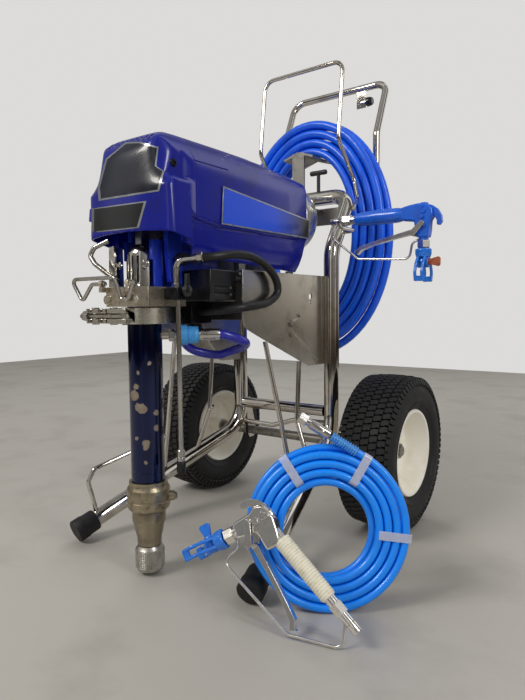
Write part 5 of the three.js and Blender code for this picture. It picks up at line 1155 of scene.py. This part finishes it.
def gun(prefix, origin, x_way, z_way, lean_degrees, body_finish, body_slot, white_grip):
    """One gun in its own frame: X down the handle, -Z down the barrel before it leans."""
    basis = Matrix((x_way, z_way.cross(x_way), z_way)).transposed()
    tilt = Matrix.Rotation(math.radians(lean_degrees), 3, "Y")
    put = lambda parts: [([origin + basis @ Vector(q) for q in p], f) for p, f in parts]
    lean_parts = lambda parts: [([tilt @ Vector(q) for q in p], f) for p, f in parts]
    barrel = lambda x, z: tilt @ Vector((x, 0, z))
    pivot = barrel(-2, -22)
    guard_corners = [barrel(3, -46), barrel(22, -54), barrel(27, -84), (134, 0, -78), (196, 0, -30), (174, 0, -3)]
    guard = pipe(bend(guard_corners, 12, 6), 2.2, 12)
    curl = [(8, 15), (-2, 16.5), (-16, 12), (-27, 4), (-34, -8), (-35, -19), (-31, -25), (-26, -24.5), (-25.5, -16),
        (-21, -9), (-14, -7), (-8, -8)]
    hook = lean_parts([flat(curl, "Y", -4.5, 4.5)])
    profile = [(44, 11), (26, 15), (8, 17), (-10, 14), (-18, 6), (-20, -6), (-14, -16), (-13, -34), (-11, -46),
        (10, -46), (13, -34), (16, -15), (44, -11)]
    head = lean_parts([
        turned([(0, 16), (7, 16), (8.5, 14), (8.5, 12), (0, 12)], (0, 0, 2), (0, 0, 1), 32),
        turned([(0, -30), (9.4, -34), (9, -36), (9, -66), (0, -66)], (0, 0, 0), (0, 0, 1), 40),
        bar((-2, -13, 3), (-2, 13, 3), 5.5, 24),
        bar((0, -15.4, -8), (0, 15.4, -8), 4.2, 6),
        bar((0, -14.4, 10), (0, 14.4, 10), 3.4, 20),
    ])
    nut_ring = [(10.4, -50), (12, -51), (12, -64), (10.4, -65.4), (8.8, -65.4), (8.8, -50)]
    nut = lean_parts([turned(nut_ring, (0, 0, 0), (0, 0, 1), 6, closed=True)])
    stem = [turned([(0, -6), (8, -5), (10, 0), (9.2, 20), (9, 40), (0, 42)], (0, 0, 0), (1, 0, 0), 40)]
    grip, grip_rib = [(9, 40), (12, 41)], ((12.5, 42), (12.5, 44.5), (11.6, 45), (11.6, 45.7))
    for k in range(23):
        grip += [(r - 0.04 * k, h + 4.15 * k) for r, h in grip_rib]
    grip += [(10.8, 138.6), (9, 140)]
    smooth_grip = [(9, 40), (12.2, 42), (13.8, 50), (14.2, 70), (14.4, 92), (13.6, 120), (12, 137), (9, 140)]
    inlet_neck = [(6, 138), (8.4, 139), (8.4, 150), (0, 150)]
    inlet_stub = [(7, 166), (7, 180), (6.4, 180.6), (7, 181.4), (7, 194), (6.4, 195), (3.5, 195), (3.5, 186), (0, 186)]
    inlet = [turned(inlet_neck, (0, 0, 0), (1, 0, 0), 32), bar((150, 0, 0), (166, 0, 0), 10.5, 6),
        turned(inlet_stub, (0, 0, 0), (1, 0, 0), 32)]
    pin = bar((pivot.x, -17.6, pivot.z), (pivot.x, 17.6, pivot.z), 4, 24)
    made(f"{prefix}_head", put(lean_parts([flat(profile, "Y", -11, 11)])), body_finish, "machine", body_slot, bevel=3,
        crease=32)
    parts = [*head, *stem, *hook]
    handle = [turned(grip if white_grip else smooth_grip, (0, 0, 0), (1, 0, 0), 40)]
    if not white_grip:
        parts += handle
    made(f"{prefix}_forging", put(parts), body_finish, "machine", body_slot, f"{prefix}_body", bevel=0.5, crease=32)
    if white_grip:
        made(f"{prefix}_ribbed_grip", put(handle), grip_white, "machine", "white_paint", crease=32)
    made(f"{prefix}_inlet_and_guard", put([guard, pin, *nut, *inlet]), gun_chrome, "machine", "gun_chrome", crease=32)
    channel = [(15, -32), (24, -30), (60, -38), (100, -47), (128, -54), (138, -64), (141, -62), (134, -70), (125, -61),
        (98, -53.5), (58, -45), (22, -39), (15, -42)]
    cheek = [(pivot.x - 5, pivot.z + 2), (pivot.x - 2, pivot.z + 6), (pivot.x + 4, pivot.z + 5), (20, -34), (20, -42),
        (12, -42)]
    trigger = [flat(channel, "Y", -6.2, 6.2), block(14.4, 20, -16, 16, -42, -34)]
    trigger += [flat(cheek, "Y", s * 16 - 1.2, s * 16 + 1.2) for s in (1, -1)]
    made(f"{prefix}_trigger_channel", put(trigger), gun_chrome, f"{prefix}_trigger", "gun_chrome", f"{prefix}_trigger",
        bevel=0.5, crease=32)
    collar_ring = [(9.6, -66.4), (13.6, -66.4), (15, -68), (14.8, -76), (13, -82), (9.6, -82)]
    collar = [turned(collar_ring, (0, 0, 0), upright, 48, closed=True)]
    for s in (1, -1):
        prong = [(s * 8, -80), (s * 20, -94), (s * 26, -110), (s * 23, -126)]
        collar += [pipe(bend([(x, *q) for q in prong], 9, 5), 2.8, 12) for x in (-6.5, 6.5)]
        collar.append(block(-8, 8, s * 23 - 2.4, s * 23 + 2.4, -127, -117, 0))
    tip_seat = (0, 0, -91)
    cross_tube = [(6.9, -11.5), (9.4, -11.5), (10.6, -9), (10.6, 9), (9.4, 11.5), (6.9, 11.5)]
    collar.append(turned(cross_tube, tip_seat, (1, 0, 0), 40, closed=True))
    made(f"{prefix}_tip_shield", put(lean_parts(collar)), tip_blue, "machine", "guard_blue", f"{prefix}_tip_guard",
        bevel=0.8, crease=32)
    flag = [turned([(0, -14), (5.4, -14), (6, -13), (6, 11), (5.2, 12), (0, 12)], tip_seat, (1, 0, 0), 32)]
    flag.append(flat([(-32, -97), (-29, -100), (-13, -96), (-13, -86), (-29, -82), (-32, -85)], "Y", -2.5, 2.5))
    flag_finish, flag_slot = (tip_blue, "guard_blue") if white_grip else (flag_brown, "flag_orange")
    made(f"{prefix}_tip_and_flag", put(lean_parts(flag)), flag_finish, f"{prefix}_tip", flag_slot, f"{prefix}_tip",
        bevel=0.6, crease=32)


gun("rear_gun", Vector((326, -44, 622)), x_way=Vector((-1, 0, 0)), z_way=Vector((0, 0, 1)), lean_degrees=0,
    body_finish=gun_blue, body_slot="gun_blue", white_grip=False)
handle_way = Vector((0.788, -0.016, -0.615)).normalized()
barrel_way = Vector((-0.779, -0.378, -0.501))
gun_up = -(barrel_way - handle_way * barrel_way.dot(handle_way)).normalized()
gun("front_gun", Vector((238.4, -438, 143.6)), x_way=handle_way, z_way=gun_up, lean_degrees=17.5,
    body_finish=gun_chrome, body_slot="gun_chrome", white_grip=True)
